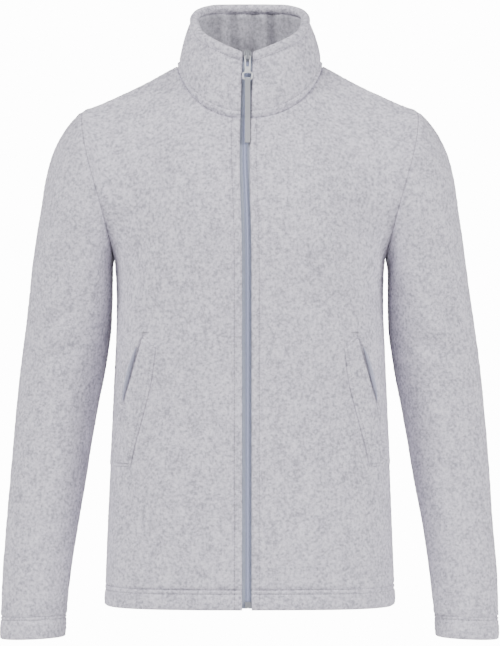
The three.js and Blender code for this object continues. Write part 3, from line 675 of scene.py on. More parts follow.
# Relief along seams and sewn lines, in rows for bumps
SEAM_GROOVE = (-1.7, 0, 2.3)
SEAM_SWELL = (0.5, 6, 3.5)
TOP_SWELL = (0.4, 6, 3.5)
BESIDE_ZIP = (0.9, 4.5, 3.6)
PUCKERED = (0.12, 4.5, 3.6)
STITCH_GROOVE = -1.3
HEM_SWELL, HEM_RIDGE, HEM_GROOVES = 0.9, 0.35, (-1.4, -2.2)
STITCH_WIDTH = 1.15
HEM_STITCHES = (19.5, 25.0)
CUFF_STITCHES = (24.0, 28.0)
ZIP_STITCH = {1: 6.8, -1: 9.0}
EDGE_ROUND = 2.0
EDGE_THIN = 0.8
CUFF_DEPTH = 27
DOUBLED_FADE = 3
NECK_FLARE = 3.2
LIP = 1.5
LIP_BELOW = {1: 3.0, -1: 0.4}
LIP_CHANGE_Z = (-190, -120)
LIP_REACH = 5
MITRE_REACH = 4
# The seam's groove is this much shallower up near the shoulder
GROOVE_LESS = 0.7
GROOVE_LESS_Z = (-115, -75)
# Small waves where the front is drawn together along the zip: wave length, size and shift
PUCKERS = ((23, 1, 0), (9.1, 0.6, 1))
# How far from the side seam, the top and the zip the folds have come to their full depth
FOLDS_FROM = {"edge": (0, 20), "top": (0, 25), "centre": (2, 34)}


def rounded(distance, radius):
    """How far a folded edge of a radius falls back at a distance from its end."""
    inside = np.clip(radius - distance, 0, radius)
    return radius - np.sqrt(np.maximum(radius**2 - inside**2, 0))


def hem_relief(height, stitches):
    """A turned-up hem: a soft fold below and two sewn lines where it is caught down."""
    first, second = stitches
    swell = (HEM_SWELL, 0.45 * first, 0.38 * first)
    ridges = (HEM_RIDGE, (first + second) / 2, 1.6), (HEM_RIDGE, second + 4, 3)
    grooves = ((groove, line, STITCH_WIDTH) for groove, line in zip(HEM_GROOVES, stitches))
    return bumps(height, swell, *ridges, *grooves)


def turned_to(normals, distance, wanted):
    """Directions that turn to the wanted ones close to a seam."""
    return unit(mix(normals, wanted, bump(distance, MITRE_REACH)[..., None]))


def quarter_cloth(face, side):
    """Fine grid of a quarter, with its wall directions and its heights and distances from seams."""
    rows, columns = fine_steps(ROW_CELLS), fine_steps(COLUMN_CELLS[face])
    grid = spread(face, side, rows, columns)
    normals = normals_of(grid)
    # All point outward once one well inside the piece does
    normals *= np.sign(FACES[face] * normals[40, 40, 1])
    from_centre, up = arc(grid, 1), arc(grid, 0)
    from_side, from_top = from_centre[:, -1:] - from_centre, up[-1:] - up
    hole, seam = armhole_outward(side, grid[:, -1]), unit(normals[:, -1] * WITHOUT_Y)
    mitre = np.where((rows > CORNER_ROW)[:, None], hole, seam)
    normals = turned_to(normals, from_side, mitre[:, None])
    angle = np.clip(columns / NECK_COLUMNS, 0, 1) * 90
    neck = neck_outward(side, angle if face == "front" else 180 - angle)
    mitre = np.where((columns <= NECK_COLUMNS)[:, None], neck, unit(normals[-1] * WITHOUT_Y))
    normals = turned_to(normals, from_top, mitre)
    return {"grid": grid, "normals": normals, "centre": from_centre, "edge": from_side, "top": from_top,
            "up": up, "rows": rows, "columns": columns, "side": side, "face": face}


def gap_seams(cloth):
    """Keeps the cloth its half of the gap from the next piece along each seam."""
    grid = cloth["grid"]
    hole, shoulder = cloth["rows"] > CORNER_ROW, cloth["columns"] >= NECK_COLUMNS
    grid[hole, -1] -= armhole_axis(cloth["side"]) * SEAM_GAP
    grid[~hole, -1, 1] = grid[-1, shoulder, 1] = FACES[cloth["face"]] * CLOSED_GAP
    grid[-1, ~shoulder, 2] -= SEAM_GAP
    return cloth


def lip(side, z):
    """How far the soft front edge leans in over the zip: below the chest one side covers more."""
    return mix(LIP_BELOW[side], LIP, step(z, *LIP_CHANGE_Z))


# Where the pocket's mouth opens and closes again, by share of the welt's length
GAPE_OPENS = (0.05, 0.24)
GAPE_CLOSES = (0.36, 0.52)
# Relief at the mouth, in rows for bumps: open, sewn shut, the lip outside it, and the inner seam
MOUTH_OPEN = (24, 2.4, 2.9)
MOUTH_SEWN = (4.6, 0.8, 1.4)
OUTER_LIP = (2.4, 5.5, 4)
INNER_SEAM = (0.5, -0.3, 1.6)
WELT_END_Z = (506, 510)


def along_welt(x, z, edge):
    """Of points of a front: distance out of a welt's edge, share of its length, 0 above the welt."""
    share = np.linspace(0, 1, 60)
    line_x, line_z = (along(WELT, "share", share, f"{edge}_{way}") for way in "xz")
    out = (x - np.interp(-z, -line_z, line_x)) * 0.97
    return out, np.interp(-z, -line_z, share), step(-z, -line_z[0] - 3, -line_z[0] + 3)


def gape(share):
    """How far the pocket's mouth stands open, by share of the welt's length."""
    return step(share, *GAPE_OPENS) * (1 - step(share, *GAPE_CLOSES))


def mouth_relief(points, side):
    """Where the cloth sinks under a pocket's opening edge and along the welt's seams."""
    x, z = side * points[..., 0], points[..., 2]
    above_end = 1 - step(-z, *WELT_END_Z)
    out, share, below_top = along_welt(x, z, "open")
    sewn = below_top * above_end
    relief = sewn * (bumps(out, OUTER_LIP) - (1 - gape(share)) * bumps(out, MOUTH_SEWN))
    relief -= gape(share) * bumps(out, MOUTH_OPEN)
    out, _, below_top = along_welt(x, z, "inner")
    return relief - bumps(out, INNER_SEAM) * below_top * above_end


def torso_form(cloth):
    """The plain folds of a quarter, and all its relief: folds, seams, hem and the line by the zip."""
    grid, centre, edge, top, up = (cloth[key] for key in ("grid", "centre", "edge", "top", "up"))
    soft = soft_form(grid, cloth["normals"])
    for key in ("edge", "top", "centre") if cloth["face"] == "front" else ("edge", "top"):
        soft *= step(cloth[key], *FOLDS_FROM[key])
    shallow = 1 - GROOVE_LESS * step(grid[..., 2], *GROOVE_LESS_Z)
    relief = soft + shallow * bumps(edge, SEAM_GROOVE) + bumps(edge, SEAM_SWELL)
    relief += bumps(top, SEAM_GROOVE, TOP_SWELL) + hem_relief(up, HEM_STITCHES)
    relief += NECK_FLARE * bump(top, 13) * bump(cloth["columns"] - NECK_COLUMNS, 1.3)
    if cloth["face"] == "front":
        sewn = ZIP_STITCH[cloth["side"]]
        pucker = sum(size * np.sin(up * 2 * math.pi / wave + shift) for wave, size, shift in PUCKERS)
        relief += bumps(centre, BESIDE_ZIP, (STITCH_GROOVE, sewn, STITCH_WIDTH))
        relief += pucker * bumps(centre, PUCKERED, (0.25, sewn + 5, 5)) - rounded(centre, EDGE_ROUND)
    return soft, relief - rounded(up, EDGE_ROUND) + pile(grid)


def torso_wall(cloth):
    """Thickness of the cloth: doubled in the hem and where it is turned under by the zip."""
    centre, up, front = cloth["centre"], cloth["up"], cloth["face"] == "front"
    hem_wall = mix(FLEECE + 0.2, HEM_WALL, step(centre, 12, 18)) if front else HEM_WALL
    wall = mix(hem_wall, FLEECE, step(up, HEM_DEPTH, HEM_DEPTH + DOUBLED_FADE))
    if front:
        wall += 0.4 * bump(centre, 6) * (wall < 4) - EDGE_THIN * rounded(centre, EDGE_ROUND)
    return wall - EDGE_THIN * rounded(up, EDGE_ROUND)


def panel_body(cloth):
    soft, relief = torso_form(cloth)
    grid, normals = cloth["grid"], cloth["normals"]
    return stand_off(grid, normals, relief), stand_off(grid, normals, soft - torso_wall(cloth))


def front_piece(name, side):
    cloth = gap_seams(quarter_cloth("front", side))
    grid = cloth["grid"]
    grid[..., 0] -= side * lip(side, grid[..., 2]) * bump(cloth["centre"], LIP_REACH)
    cloth["outer"], inner = panel_body(cloth)
    mouth = mouth_relief(grid, side)
    cloth["sunk"], inner = (stand_off(points, cloth["normals"], mouth) for points in (cloth["outer"], inner))
    cloth["piece"] = cloth_piece(name, wrap(cloth["sunk"], inner), grid.shape[1])
    return cloth


def back_piece():
    halves = []
    for side in (-1, 1):
        cloth = gap_seams(quarter_cloth("back", side))
        cloth["outer"], cloth["inner"] = panel_body(cloth)
        halves.append(cloth)
    both = {}
    for key in ("outer", "inner", "normals", "up"):
        both[key] = np.concatenate([halves[0][key][:, :0:-1], halves[1][key]], 1)
    both["piece"] = cloth_piece("back", wrap(both["outer"], both["inner"]), both["outer"].shape[1])
    return both


# Sleeves
SLEEVE_ROUND = 104
SLEEVE_CELLS = [8, 8, 9, 10, 12] + [13] * 10 + [30]
SLEEVE_LIFT = (1 + np.cos(turns(SLEEVE_ROUND))) / 2
CUFF_WALL = 5.2


def sleeve_grid(side):
    rings = np.arange(len(SLEEVE["y"]), dtype=float)
    at = fine_steps(SLEEVE_CELLS)
    ring = {name: hermite(rings, values, at)[:, None] for name, values in SLEEVE.items()}
    lift = SLEEVE_LIFT
    bow = ARMHOLE_BOW * np.maximum(0, 1 - at / 4)[:, None] * lift**3 * (1 - lift)
    x, z = (mix(ring[f"inner_{way}"], ring[f"outer_{way}"], lift) for way in "xz")
    return pack3(side * (x + bow), ring["y"] - ring["depth"] * np.sin(turns(SLEEVE_ROUND)), z)


def sleeve_piece(name, side):
    grid = sleeve_grid(side)
    normals = normals_of(grid, True)
    normals *= np.sign(normals[150, 0, 0] * side)
    down = arc(grid, 0)
    up = down[-1:] - down
    normals = turned_to(normals, down, armhole_outward(side, grid[0]))
    grid[0] += armhole_axis(side) * SEAM_GAP
    soft = soft_form(grid, normals) * step(down, *FOLDS_FROM["top"])
    shallow = 1 - GROOVE_LESS * SLEEVE_LIFT**6
    relief = soft + shallow * bumps(down, SEAM_GROOVE) + bumps(down, SEAM_SWELL)
    relief += hem_relief(up, CUFF_STITCHES) - rounded(up, EDGE_ROUND) + pile(grid)
    wall = mix(CUFF_WALL, FLEECE, step(up, CUFF_DEPTH, CUFF_DEPTH + DOUBLED_FADE))
    wall -= EDGE_THIN * rounded(up, EDGE_ROUND)
    outer, inner = stand_off(grid, normals, relief), stand_off(grid, normals, soft - wall)
    piece = cloth_piece(name, wrap(outer.swapaxes(0, 1), inner.swapaxes(0, 1)), len(outer), ring=True)
    return {"outer": outer, "normals": normals, "up": up, "piece": piece}


# Collar
CREST_STITCH = 12.5
BAND_STITCH = 9
# Relief of the collar's outer side, in rows for bumps
CREST_ROWS = ((-2.2, CREST_STITCH, 1.4), (1.2, 5.5, 4))
BAND_ROWS = ((1.5, 4.6, 2.9), (-1.3, BAND_STITCH, 1.5), SEAM_GROOVE)
# Upright folds inside the collar's back: side, angle round the neck, lean, width and height
INNER_FOLDS = (
    (-1, 171, 6, 4.5, 3.6),
    (-1, 160, 5, 4, -2.7),
    (-1, 148, 8, 5, 2.85),
    (-1, 134, 4, 5, -1.95),
    (1, 178, -4, 4, -3.0),
    (1, 167, -7, 4, 3.3),
    (1, 157, -5, 4.5, -3.3),
    (1, 144, -8, 6, 3.0),
    (1, 129, -4, 5, -1.8),
)
END_ROUND = 3.2
DIMPLE, SECOND_DIMPLE = (1.3, 9.5, 1.6), (1.1, 17, 2.2)
# Long waves round the collar: wave length in degrees, height, slope and shift from side to side
OUTER_WAVES = ((47, 0.5, 0.4, 1), (23, 0.35, -0.3, 2))
INNER_WAVES = ((61, 0.7, 0, 1.2),)
INNER_SWELL = (0.6, 9, 2.5)
COLLAR_ANGLES = 120
COLLAR_UP = 66
ROLL_STEPS = 16


def collar_outer(side, angle, share):
    turn = np.radians(angle)
    ahead = np.cos(turn)
    crest = along(COLLAR_CREST, "angle", angle, "z") - COLLAR_ROLL
    deep = np.where(ahead > 0, COLLAR_TOP["front"], COLLAR_TOP["back"])
    x = COLLAR_TOP["half"] * np.sin(turn)
    x = np.where(ahead > 0, from_edge(side, x, COLLAR_TOP["half"], crest), x)
    top = pack3(side * x, -deep * ahead, crest)
    swell = COLLAR_BULGE * np.sin(math.pi * share)
    point = mix(neckline(side, angle), top, share[..., None])
    return point + pack3(side * np.sin(turn) * swell, -ahead * swell, 0)


def collar_outward(side, angle, share):
    turn = np.radians(angle)
    lean = unit(pack3(side * np.sin(turn), -np.cos(turn), 0.2 + 0 * turn))
    out = mix(neck_outward(side, angle), lean, np.minimum(1, share * 4)[..., None])
    flat = pack3(0 * turn, out[..., 1], out[..., 2])
    return unit(mix(flat, out, step(angle, 0, 3)[..., None]))


def collar_waves(side, angle, share, waves):
    turned = (size * np.sin(2 * math.pi * (angle / length + share * slope) + shift * side)
              for length, size, slope, shift in waves)
    return sum(turned)


def collar_half(side):
    """Loops of the collar's section, from the centre front to the centre back."""
    angle = 180 * (np.arange(COLLAR_ANGLES + 1) / COLLAR_ANGLES) ** 1.15
    a, s = np.meshgrid(angle, np.linspace(0, 1, COLLAR_UP), indexing="ij")
    outer, out = collar_outer(side, a, s), collar_outward(side, a, s)
    middle = outer - out * COLLAR_WALL / 2
    up, run = arc(middle, 1), arc(middle, 0)[:, :1]
    from_top = up[:, -1:] + COLLAR_ROLL - up
    half_wall = mix(COLLAR_WALL / 2, COLLAR_ROLL, step(from_top, 14, 6)) + bumps(from_top, *CREST_ROWS)
    ends = np.maximum(1 - rounded(run, END_ROUND) / END_ROUND, math.sqrt(0.05))
    dimples = bumps(run, DIMPLE) * step(up, 6, 22) * step(from_top, 10, 26)
    if side < 0:
        dimples += bumps(run, SECOND_DIMPLE) * step(up, 10, 30) * step(from_top, 12, 34)
    wave = collar_waves(side, a, s, OUTER_WAVES) * step(up, 4, 25) * step(from_top, 8, 30)
    relief = half_wall + wave - dimples + bumps(up, *BAND_ROWS)
    outer = stand_off(middle, out, relief * ends + 0.4 * pile(outer))
    hollow = collar_waves(side, a, s, INNER_WAVES)
    for fold_side, fold_angle, lean, width, height in INNER_FOLDS:
        if fold_side == side:
            hollow += height * bump(a - fold_angle - lean * (1 - s), width)
    hollow = hollow * step(up, 2, 20) * step(from_top, 7, 18) + bumps(from_top, INNER_SWELL)
    inner = stand_off(middle, out, -(half_wall + hollow) * ends)
    turn = (math.pi * np.arange(1, ROLL_STEPS) / ROLL_STEPS)[:, None]
    section = out[:, -1:] * np.cos(turn) + UP * np.sin(turn)
    roll = middle[:, -1:] + COLLAR_ROLL * ends[:, -1:, None] * section
    loops = np.concatenate([outer, roll, inner[:, ::-1]], 1)
    loops[..., 0] -= side * LIP * bump(run, LIP_REACH)
    outer = loops[:, :COLLAR_UP]
    return {"loops": loops, "outer": outer, "normals": out, "up": up, "from_top": from_top}


def collar_piece():
    halves = {side: collar_half(side) for side in (-1, 1)}
    loops = np.concatenate([halves[-1]["loops"], halves[1]["loops"][-2::-1]])
    loops = np.delete(loops, COLLAR_UP + ROLL_STEPS // 2, 1)
    halves["piece"] = cloth_piece("collar", loops, COLLAR_UP + ROLL_STEPS + 5)
    return halves


# Pockets
def surface_of(grid):
    return BVHTree.FromPolygons(grid.reshape(-1, 3).tolist(), shell_faces(*grid.shape[:2]).tolist())


def under(surface, x, z, side):
    """Points and directions of a front's surface under places given by x and z."""
    points, normals = np.zeros((2, *x.shape, 3))
    for i in np.ndindex(x.shape):
        points[i], normal, _, _ = surface.ray_cast(Vector((side * x[i], -400, z[i])), Vector((0, 1, 0)))
        normals[i] = normal if normal.y < 0 else -normal
    for _ in range(2):
        near = normals[2:, 1:-1] + normals[:-2, 1:-1] + normals[1:-1, 2:] + normals[1:-1, :-2]
        normals[1:-1, 1:-1] += near
        normals = unit(normals)
    return points, normals


WELT_LONG = 150
WELT_ACROSS = 28
WELT_PROUD = 3.3
WELT_OVERHANG = 1.5
WELT_OFF = 0.1
WELT_STITCHES = {"inner": 3.4, "end": 3.2}
# Relief of a welt where it is sewn down, in rows for bumps
WELT_ROWS = {"inner": ((-2.7, 0, 3.2), (-0.5, WELT_STITCHES["inner"], 0.9)),
             "end": ((-2.6, 0, 2.2), (-2.4, WELT_STITCHES["end"], 1.1))}
WELT_WAVE = (0.25, 9, 6)


def welt_piece(name, cloth, surface):
    """A welt: folded at its opening edge, turned in and sewn down along its inner edge and ends."""
    share = np.linspace(0.004, 0.996, WELT_LONG)[:, None]
    across = np.linspace(0, 1, WELT_ACROSS)[None]
    line = {key: along(WELT, "share", share, key) for key in list(WELT)[1:]}
    x = mix(line["open_x"] + WELT_OVERHANG * gape(share), line["inner_x"], across)
    z = mix(line["open_z"], line["inner_z"], across)
    base, normals = under(surface, x, z, cloth["side"])
    from_open, down = arc(base, 1), arc(base, 0)
    from_inner, from_end = from_open[:, -1:] - from_open, np.minimum(down, down[-1:] - down)
    height = WELT_PROUD - 1.5 * rounded(from_open, 1.6)
    height += bumps(from_inner, *WELT_ROWS["inner"]) + bumps(from_end, *WELT_ROWS["end"])
    height += np.sin(down / 11.0 + from_open * 0.16) * bumps(from_open, WELT_WAVE)
    top = stand_off(base, normals, np.maximum(height, 0.35) + pile(base, 0.1) + WELT_OFF)
    loops = wrap(top, base + normals * WELT_OFF)
    piece = make_piece(f"cloth_{name}", loft(loops), "fleece", [name])
    return {"outer": top, "normals": normals, "piece": piece,
            "from_inner": from_inner, "from_start": down, "from_end": down[-1:] - down}


FACING_WIDTH = 5.0
FACING_OUT = 4.9
FACING_OFF = 0.12
FACING_ENDS = (0.08, 0.42)


def facing_piece(name, cloth, surface):
    """The strip of knitted facing that shows in the open part of the pocket."""
    t = np.linspace(0, 1, 80)[:, None]
    share = mix(*FACING_ENDS, t)
    wide = FACING_WIDTH * np.sin(math.pi * np.clip(t, 0.02, 0.98)) ** 0.55
    across = np.linspace(0, 1, 10)[None]
    x = along(WELT, "share", share, "open_x") + FACING_OUT + wide * across
    z = along(WELT, "share", share, "open_z") + across
    base, normals = under(surface, x, z, cloth["side"])
    edge = np.minimum(across, 1 - across) * wide
    top = stand_off(base, normals, FACING_OFF + 0.2 + 0.5 * np.sqrt(np.clip(edge / 0.6, 0, 1)))
    loops = wrap(top, base + normals * FACING_OFF)
    return make_piece(f"trim_{name}", loft(loops), "facing", [name])


# Sewing
STITCH_PITCH = 3.2
STITCH_LONG = 2.5
THREAD = 0.3
THREAD_SIDES = 6
# A stitch along its length: how it stands over the cloth, and its thickness
STITCH_RISE = (-0.35, 0.12, 0.2, 0.12, -0.35)
STITCH_THICK = (0.55, 1, 1, 1, 0.55)
STITCH_CAPS = ((0, 1, 2, 3), (0, 3, 4, 5), (24, 27, 26, 25), (24, 29, 28, 27))


def level_line(cloth, key, value, axis=0):
    """Points and directions where a distance over the cloth first reaches a value."""
    field, outer, normals = (np.moveaxis(cloth[k], axis, 0) for k in (key, "outer", "normals"))
    above = field >= value
    if above[-1].mean() < 0.5:
        above = ~above
    last = np.clip(np.argmax(above, 0), 1, len(field) - 1)
    every = np.arange(field.shape[1])
    low, high = field[last - 1, every], field[last, every]
    gap = np.where(np.abs(high - low) < 1e-6, 1, high - low)
    share = np.clip((value - low) / gap, 0, 1)[:, None]
    points, lead = (mix(rows[last - 1, every], rows[last, every], share) for rows in (outer, normals))
    return points, unit(lead)


def tubes(spines, across, upward, radius, each, sides):
    """Many tubes alike, each with sides round its own row of points, and the faces of each."""
    turn = turns(sides)[:, None]
    section = across[:, :, None] * np.cos(turn) + upward[:, :, None] * np.sin(turn)
    points = spines[:, :, None] + radius * section
    start = spines.shape[1] * sides * np.arange(len(spines))[:, None, None]
    return points.reshape(-1, 3), (each + start).reshape(-1, 4)


def stitches(points, normals, pitch=STITCH_PITCH, long=STITCH_LONG, closed=False):
    """A row of lockstitches along a line on the cloth, each dipping in at both ends."""
    if closed:
        points, normals = (np.concatenate([rows, rows[:1]]) for rows in (points, normals))
    run = arc(points, 0)
    count = int((run[-1] - 1) // pitch)
    steps = len(STITCH_RISE)
    middle = (np.arange(count) + 0.5) * run[-1] / count
    at = middle[:, None] + np.linspace(-long / 2, long / 2, steps)
    spine, lead = (pack3(*(np.interp(at, run, row) for row in rows.T)) for rows in (points, normals))
    lead = unit(lead)
    spine = stand_off(spine, lead, STITCH_RISE)
    across = unit(np.cross(unit(np.gradient(spine, axis=1)), lead))
    radius = THREAD * np.array(STITCH_THICK)[:, None, None]
    each = np.concatenate([shell_faces(steps, THREAD_SIDES, True), STITCH_CAPS])
    return tubes(spine, across, lead, radius, each, THREAD_SIDES)


def sew(name, lines, bars=(), closed=False):
    """One piece of thread: stitches where distances reach their values, and ready bars."""
    rows = [stitches(*level_line(*line), closed=closed) for line in lines]
    return make_piece(f"sewing_{name}", many([*rows, *bars]), "thread")


BARTACK_AT = (128, -344)
BARTACK_LONG = 9
BARTACK_ROWS = 10
BARTACK_HALF = 1.1


def bartack(surface, side):
    """A dense bar of short stitches across the end of a pocket's opening."""
    parts = []
    for along_bar in np.linspace(-0.5, 0.5, BARTACK_ROWS) * BARTACK_LONG:
        t = np.linspace(-BARTACK_HALF, BARTACK_HALF, 6)[:, None]
        x, z = BARTACK_AT[0] + along_bar + 0 * t, BARTACK_AT[1] + t
        points, normals = (rows[:, 0] for rows in under(surface, x, z, side))
        parts.append(stitches(points + normals * WELT_OFF, normals, BARTACK_HALF, 2 * BARTACK_HALF))
    return parts


# Zip
COIL_PITCH = 1.45
COIL_WIRE, COIL_SIDES = 0.42, 5
# One loop of the coil from the tape round its head, as out from the middle and into the depth
COIL_LOOP = np.array([
    (3.2, 3.25), (1.6, 3.2), (0.2, 3.2), (-0.75, 3.5), (-0.95, 4.1), (-0.75, 4.7), (0.2, 5.0), (3.2, 4.95),
])
COIL_DRIFT = 0.25
COIL_ENDS = (-673.5, -6.5)
TAPE = {"wing": 13, "hem": 10.5, "wing_top": -112, "depth": 3.6, "wall": 1, "top": -3, "bottom": -680,
        "near": 1.45, "near_hem": 0.4, "inset": 0.15}
# The tape's woven ridges, in rows for bumps
TAPE_RIDGES = ((0.25, 4.2, 0.4), (0.12, 5.2, 0.35), (0.12, 6.1, 0.35))
SLIDER_Z = -4.5
BOX_Z = -675.0
HEAD_Y = -71.62
HEAD_LEAN = math.radians(-13.0)
TAB_GAP, TAB_WALL = 0.6, 1.7
SHARP_ANGLE = math.radians(38)
RING = {"z": -25.2, "half": 6.5, "tall": 5.2, "power": 3.6, "hole_half": 4.7, "hole_tall": 3.5}
RIBBON = {"half": 3.3, "layer": 0.7, "top": -48, "end": -112, "hole": 1.75, "lift": 0.7}


def zip_level(z):
    """The cloth's outer face at the zip, in y, up the fronts and the collar."""
    share = np.linspace(0.02, 1, 12)
    line = np.concatenate([fronts["left"]["grid"][:, 0], collar_outer(1, 0 * share, share)])
    return np.interp(z, line[:, 2], line[:, 1])


def tape_piece(name, side):
    z = np.arange(TAPE["bottom"], TAPE["top"] + 0.1, 2.2)
    behind = 1 - step(z, TAPE["wing_top"] - 4, TAPE["wing_top"])
    wing = mix(TAPE["hem"], TAPE["wing"], step(z, HEM_Z + 28, HEM_Z + 32))
    far = mix(ZIP_OPENING_HALF + 0.5 - lip(side, z), wing, behind)[:, None]
    near = mix(TAPE["near_hem"], TAPE["near"], step(z, -664, -655))[:, None]
    t = np.concatenate([np.linspace(0, 0.5, 14), np.linspace(0.55, 1, 6)])
    out = near + (far - near) * t
    thin = 0.35 * (bump(out - near, 0.25) + bump(out - far, 0.3))
    x, level = zip_x(z)[:, None] + side * out, zip_level(z)[:, None] + TAPE["depth"]
    sunk = TAPE["inset"] * (2 - step(out, 3.2, 4.2))
    front = pack3(x, level + sunk - bumps(out, *TAPE_RIDGES) + thin, z[:, None])
    back = pack3(x, level + TAPE["wall"] - TAPE["inset"] - thin, z[:, None])
    return make_piece(f"tape_{name}", loft(wrap(front, back)), "tape", [f"zip_tape_{name}"])


def coil_piece():
    """Both rows of the coil, one wire loop for each tooth, their heads hooked together."""
    each = shell_faces(len(COIL_LOOP), COIL_SIDES, True)
    drift = np.linspace(COIL_DRIFT, -COIL_DRIFT, len(COIL_LOOP))
    parts = []
    for side in (-1, 1):
        z = np.arange(*COIL_ENDS, COIL_PITCH)[:, None] + (COIL_PITCH / 2 if side > 0 else 0)
        spines = pack3(zip_x(z) + side * COIL_LOOP[:, 0], zip_level(z) + COIL_LOOP[:, 1], z + drift)
        ahead = unit(np.gradient(spines, axis=1))
        across = unit(np.cross(ahead, UP))
        parts.append(tubes(spines, across, np.cross(across, ahead), COIL_WIRE, each, COIL_SIDES))
    return make_piece("coil_teeth", many(parts), "coil", ["zip_chain"])


def oval(middle, half, tall, power, steps=48):
    across, ahead = squarish(turns(steps), power)
    return np.stack([half * across, middle + tall * ahead], -1)


def add_plate(body, outlines, near, far, bevel, plane="xz"):
    """Adds a plate with rounded edges, cut along outlines and extruded between two distances."""
    curve = bpy.data.curves.new("plate", "CURVE")
    curve.dimensions = "2D"
    curve.fill_mode = "BOTH"
    curve.extrude = (far - near) / 2 - bevel
    curve.bevel_depth = bevel
    curve.bevel_resolution = 3
    curve.offset = -bevel
    for outline in outlines:
        spline = curve.splines.new("POLY")
        spline.points.add(len(outline) - 1)
        for point, (u, v) in zip(spline.points, outline):
            point.co = (u, v, 0, 1)
        spline.use_cyclic_u = True
    holder = bpy.data.objects.new("plate", curve)
    mesh = bpy.data.meshes.new_from_object(holder)
    middle = (near + far) / 2
    rows = {"xz": ((1, 0, 0, 0), (0, 0, 1, middle), (0, 1, 0, 0), (0, 0, 0, 1)),
            "yz": ((0, 0, 1, middle), (1, 0, 0, 0), (0, 1, 0, 0), (0, 0, 0, 1))}
    mesh.transform(Matrix(rows[plane]))
    body.from_mesh(mesh)
    bpy.data.meshes.remove(mesh)
    bpy.data.objects.remove(holder)
    bpy.data.curves.remove(curve)


def metal_piece(name, body, place, material, replaced, rides="jacket"):
    bmesh.ops.remove_doubles(body, verts=body.verts, dist=0.002)
    bmesh.ops.recalc_face_normals(body, faces=body.faces)
    bmesh.ops.transform(body, matrix=Matrix.Scale(MM, 4) @ place, verts=body.verts)
    mesh = bpy.data.meshes.new(name)
    body.to_mesh(mesh)
    body.free()
    piece = declare(name, mesh, material, rides, [replaced])
    mesh.set_sharp_from_angle(angle=SHARP_ANGLE)
    return piece


HEAD = Matrix.Translation((float(zip_x(SLIDER_Z)), HEAD_Y, SLIDER_Z)) @ Matrix.Rotation(HEAD_LEAN, 4, "X")


def soften(outline, radius=0.9, steps=4):
    """Rounds the corners of an outline."""
    outline = np.array(outline, float)
    points = []
    for i, corner in enumerate(outline):
        back, ahead = outline[i - 1] - corner, outline[(i + 1) % len(outline)] - corner
        cut = min(radius, 0.45 * np.linalg.norm(back), 0.45 * np.linalg.norm(ahead))
        start, end = corner + unit(back) * cut, corner + unit(ahead) * cut
        for t in np.linspace(0, 1, steps + 1):
            points.append((1 - t) ** 2 * start + 2 * t * (1 - t) * corner + t * t * end)
    return np.array(points)


def slider_piece():
    body = bmesh.new()
    shield = soften([(-3.9, -6.2), (3.9, -6.2), (4.9, 4.6), (2.9, 8.6), (-2.9, 8.6), (-4.9, 4.6)], 1.6)
    wedge = soften([(-2.7, 4.4), (2.7, 4.4), (2.7, 8.2), (-2.7, 8.2)], 1.2)
    add_plate(body, [shield], 0, 1.9, 0.55)
    add_plate(body, [shield], 6.2, 8, 0.5)
    add_plate(body, [wedge], 1.4, 6.7, 0.2)
    arch = soften([(0.4, -4.6), (0.4, 5), (-3.4, 5), (-4.4, 4), (-4.4, -3.6), (-3.4, -4.6)], 1.1)
    window = soften([(-0.3, -2.7), (-2.9, -2.7), (-2.9, 1.5), (-0.3, 1.5)], 0.7)
    add_plate(body, [arch, window], -1.6, 1.6, 0.45, "yz")
    return metal_piece("metal_slider", body, HEAD, "slider", "zip_slider")


def tab_piece():
    body = bmesh.new()
    ring = oval(RING["z"], RING["half"], RING["tall"], RING["power"], 72)
    ring = ring[~((np.abs(ring[:, 0]) < 3.0) & (ring[:, 1] > RING["z"]))]
    start = np.argmin(np.where(ring[:, 1] > RING["z"], ring[:, 0] + 100 * (ring[:, 0] < 0), 1e3))
    ring = np.roll(ring, -start, 0)
    ring = ring if ring[1, 0] > ring[0, 0] else np.roll(ring[::-1], 1, 0)
    fork = np.array([(-3.3, -17.4), (-3.6, -14.6), (-3.6, -0.2), (-2.9, 0.55)])
    outline = np.concatenate([ring, fork, fork[::-1] * (-1, 1)])
    window = soften([(-1.95, -0.55), (1.95, -0.55), (1.95, -13.5), (-1.95, -13.5)], 0.9)
    hole = oval(RING["z"], RING["hole_half"], RING["hole_tall"], RING["power"])
    add_plate(body, [outline, window, hole], -TAB_GAP - TAB_WALL, -TAB_GAP, 0.42)
    return metal_piece("metal_pull_tab", body, HEAD, "metal", "zip_pull_tab", "pull_tab")


def box_piece():
    body = bmesh.new()
    level = float(zip_level(BOX_Z))
    outline = soften([(-3.6, -679), (3.6, -679), (3.6, -671.5), (-3.6, -671.5)], 0.8)
    add_plate(body, [outline], level + 0.4, level + 3.2, 0.45)
    place = Matrix.Translation((float(zip_x(BOX_Z)), 0, 0))
    return metal_piece("metal_bottom_box", body, place, "slider", "zip_bottom_box")


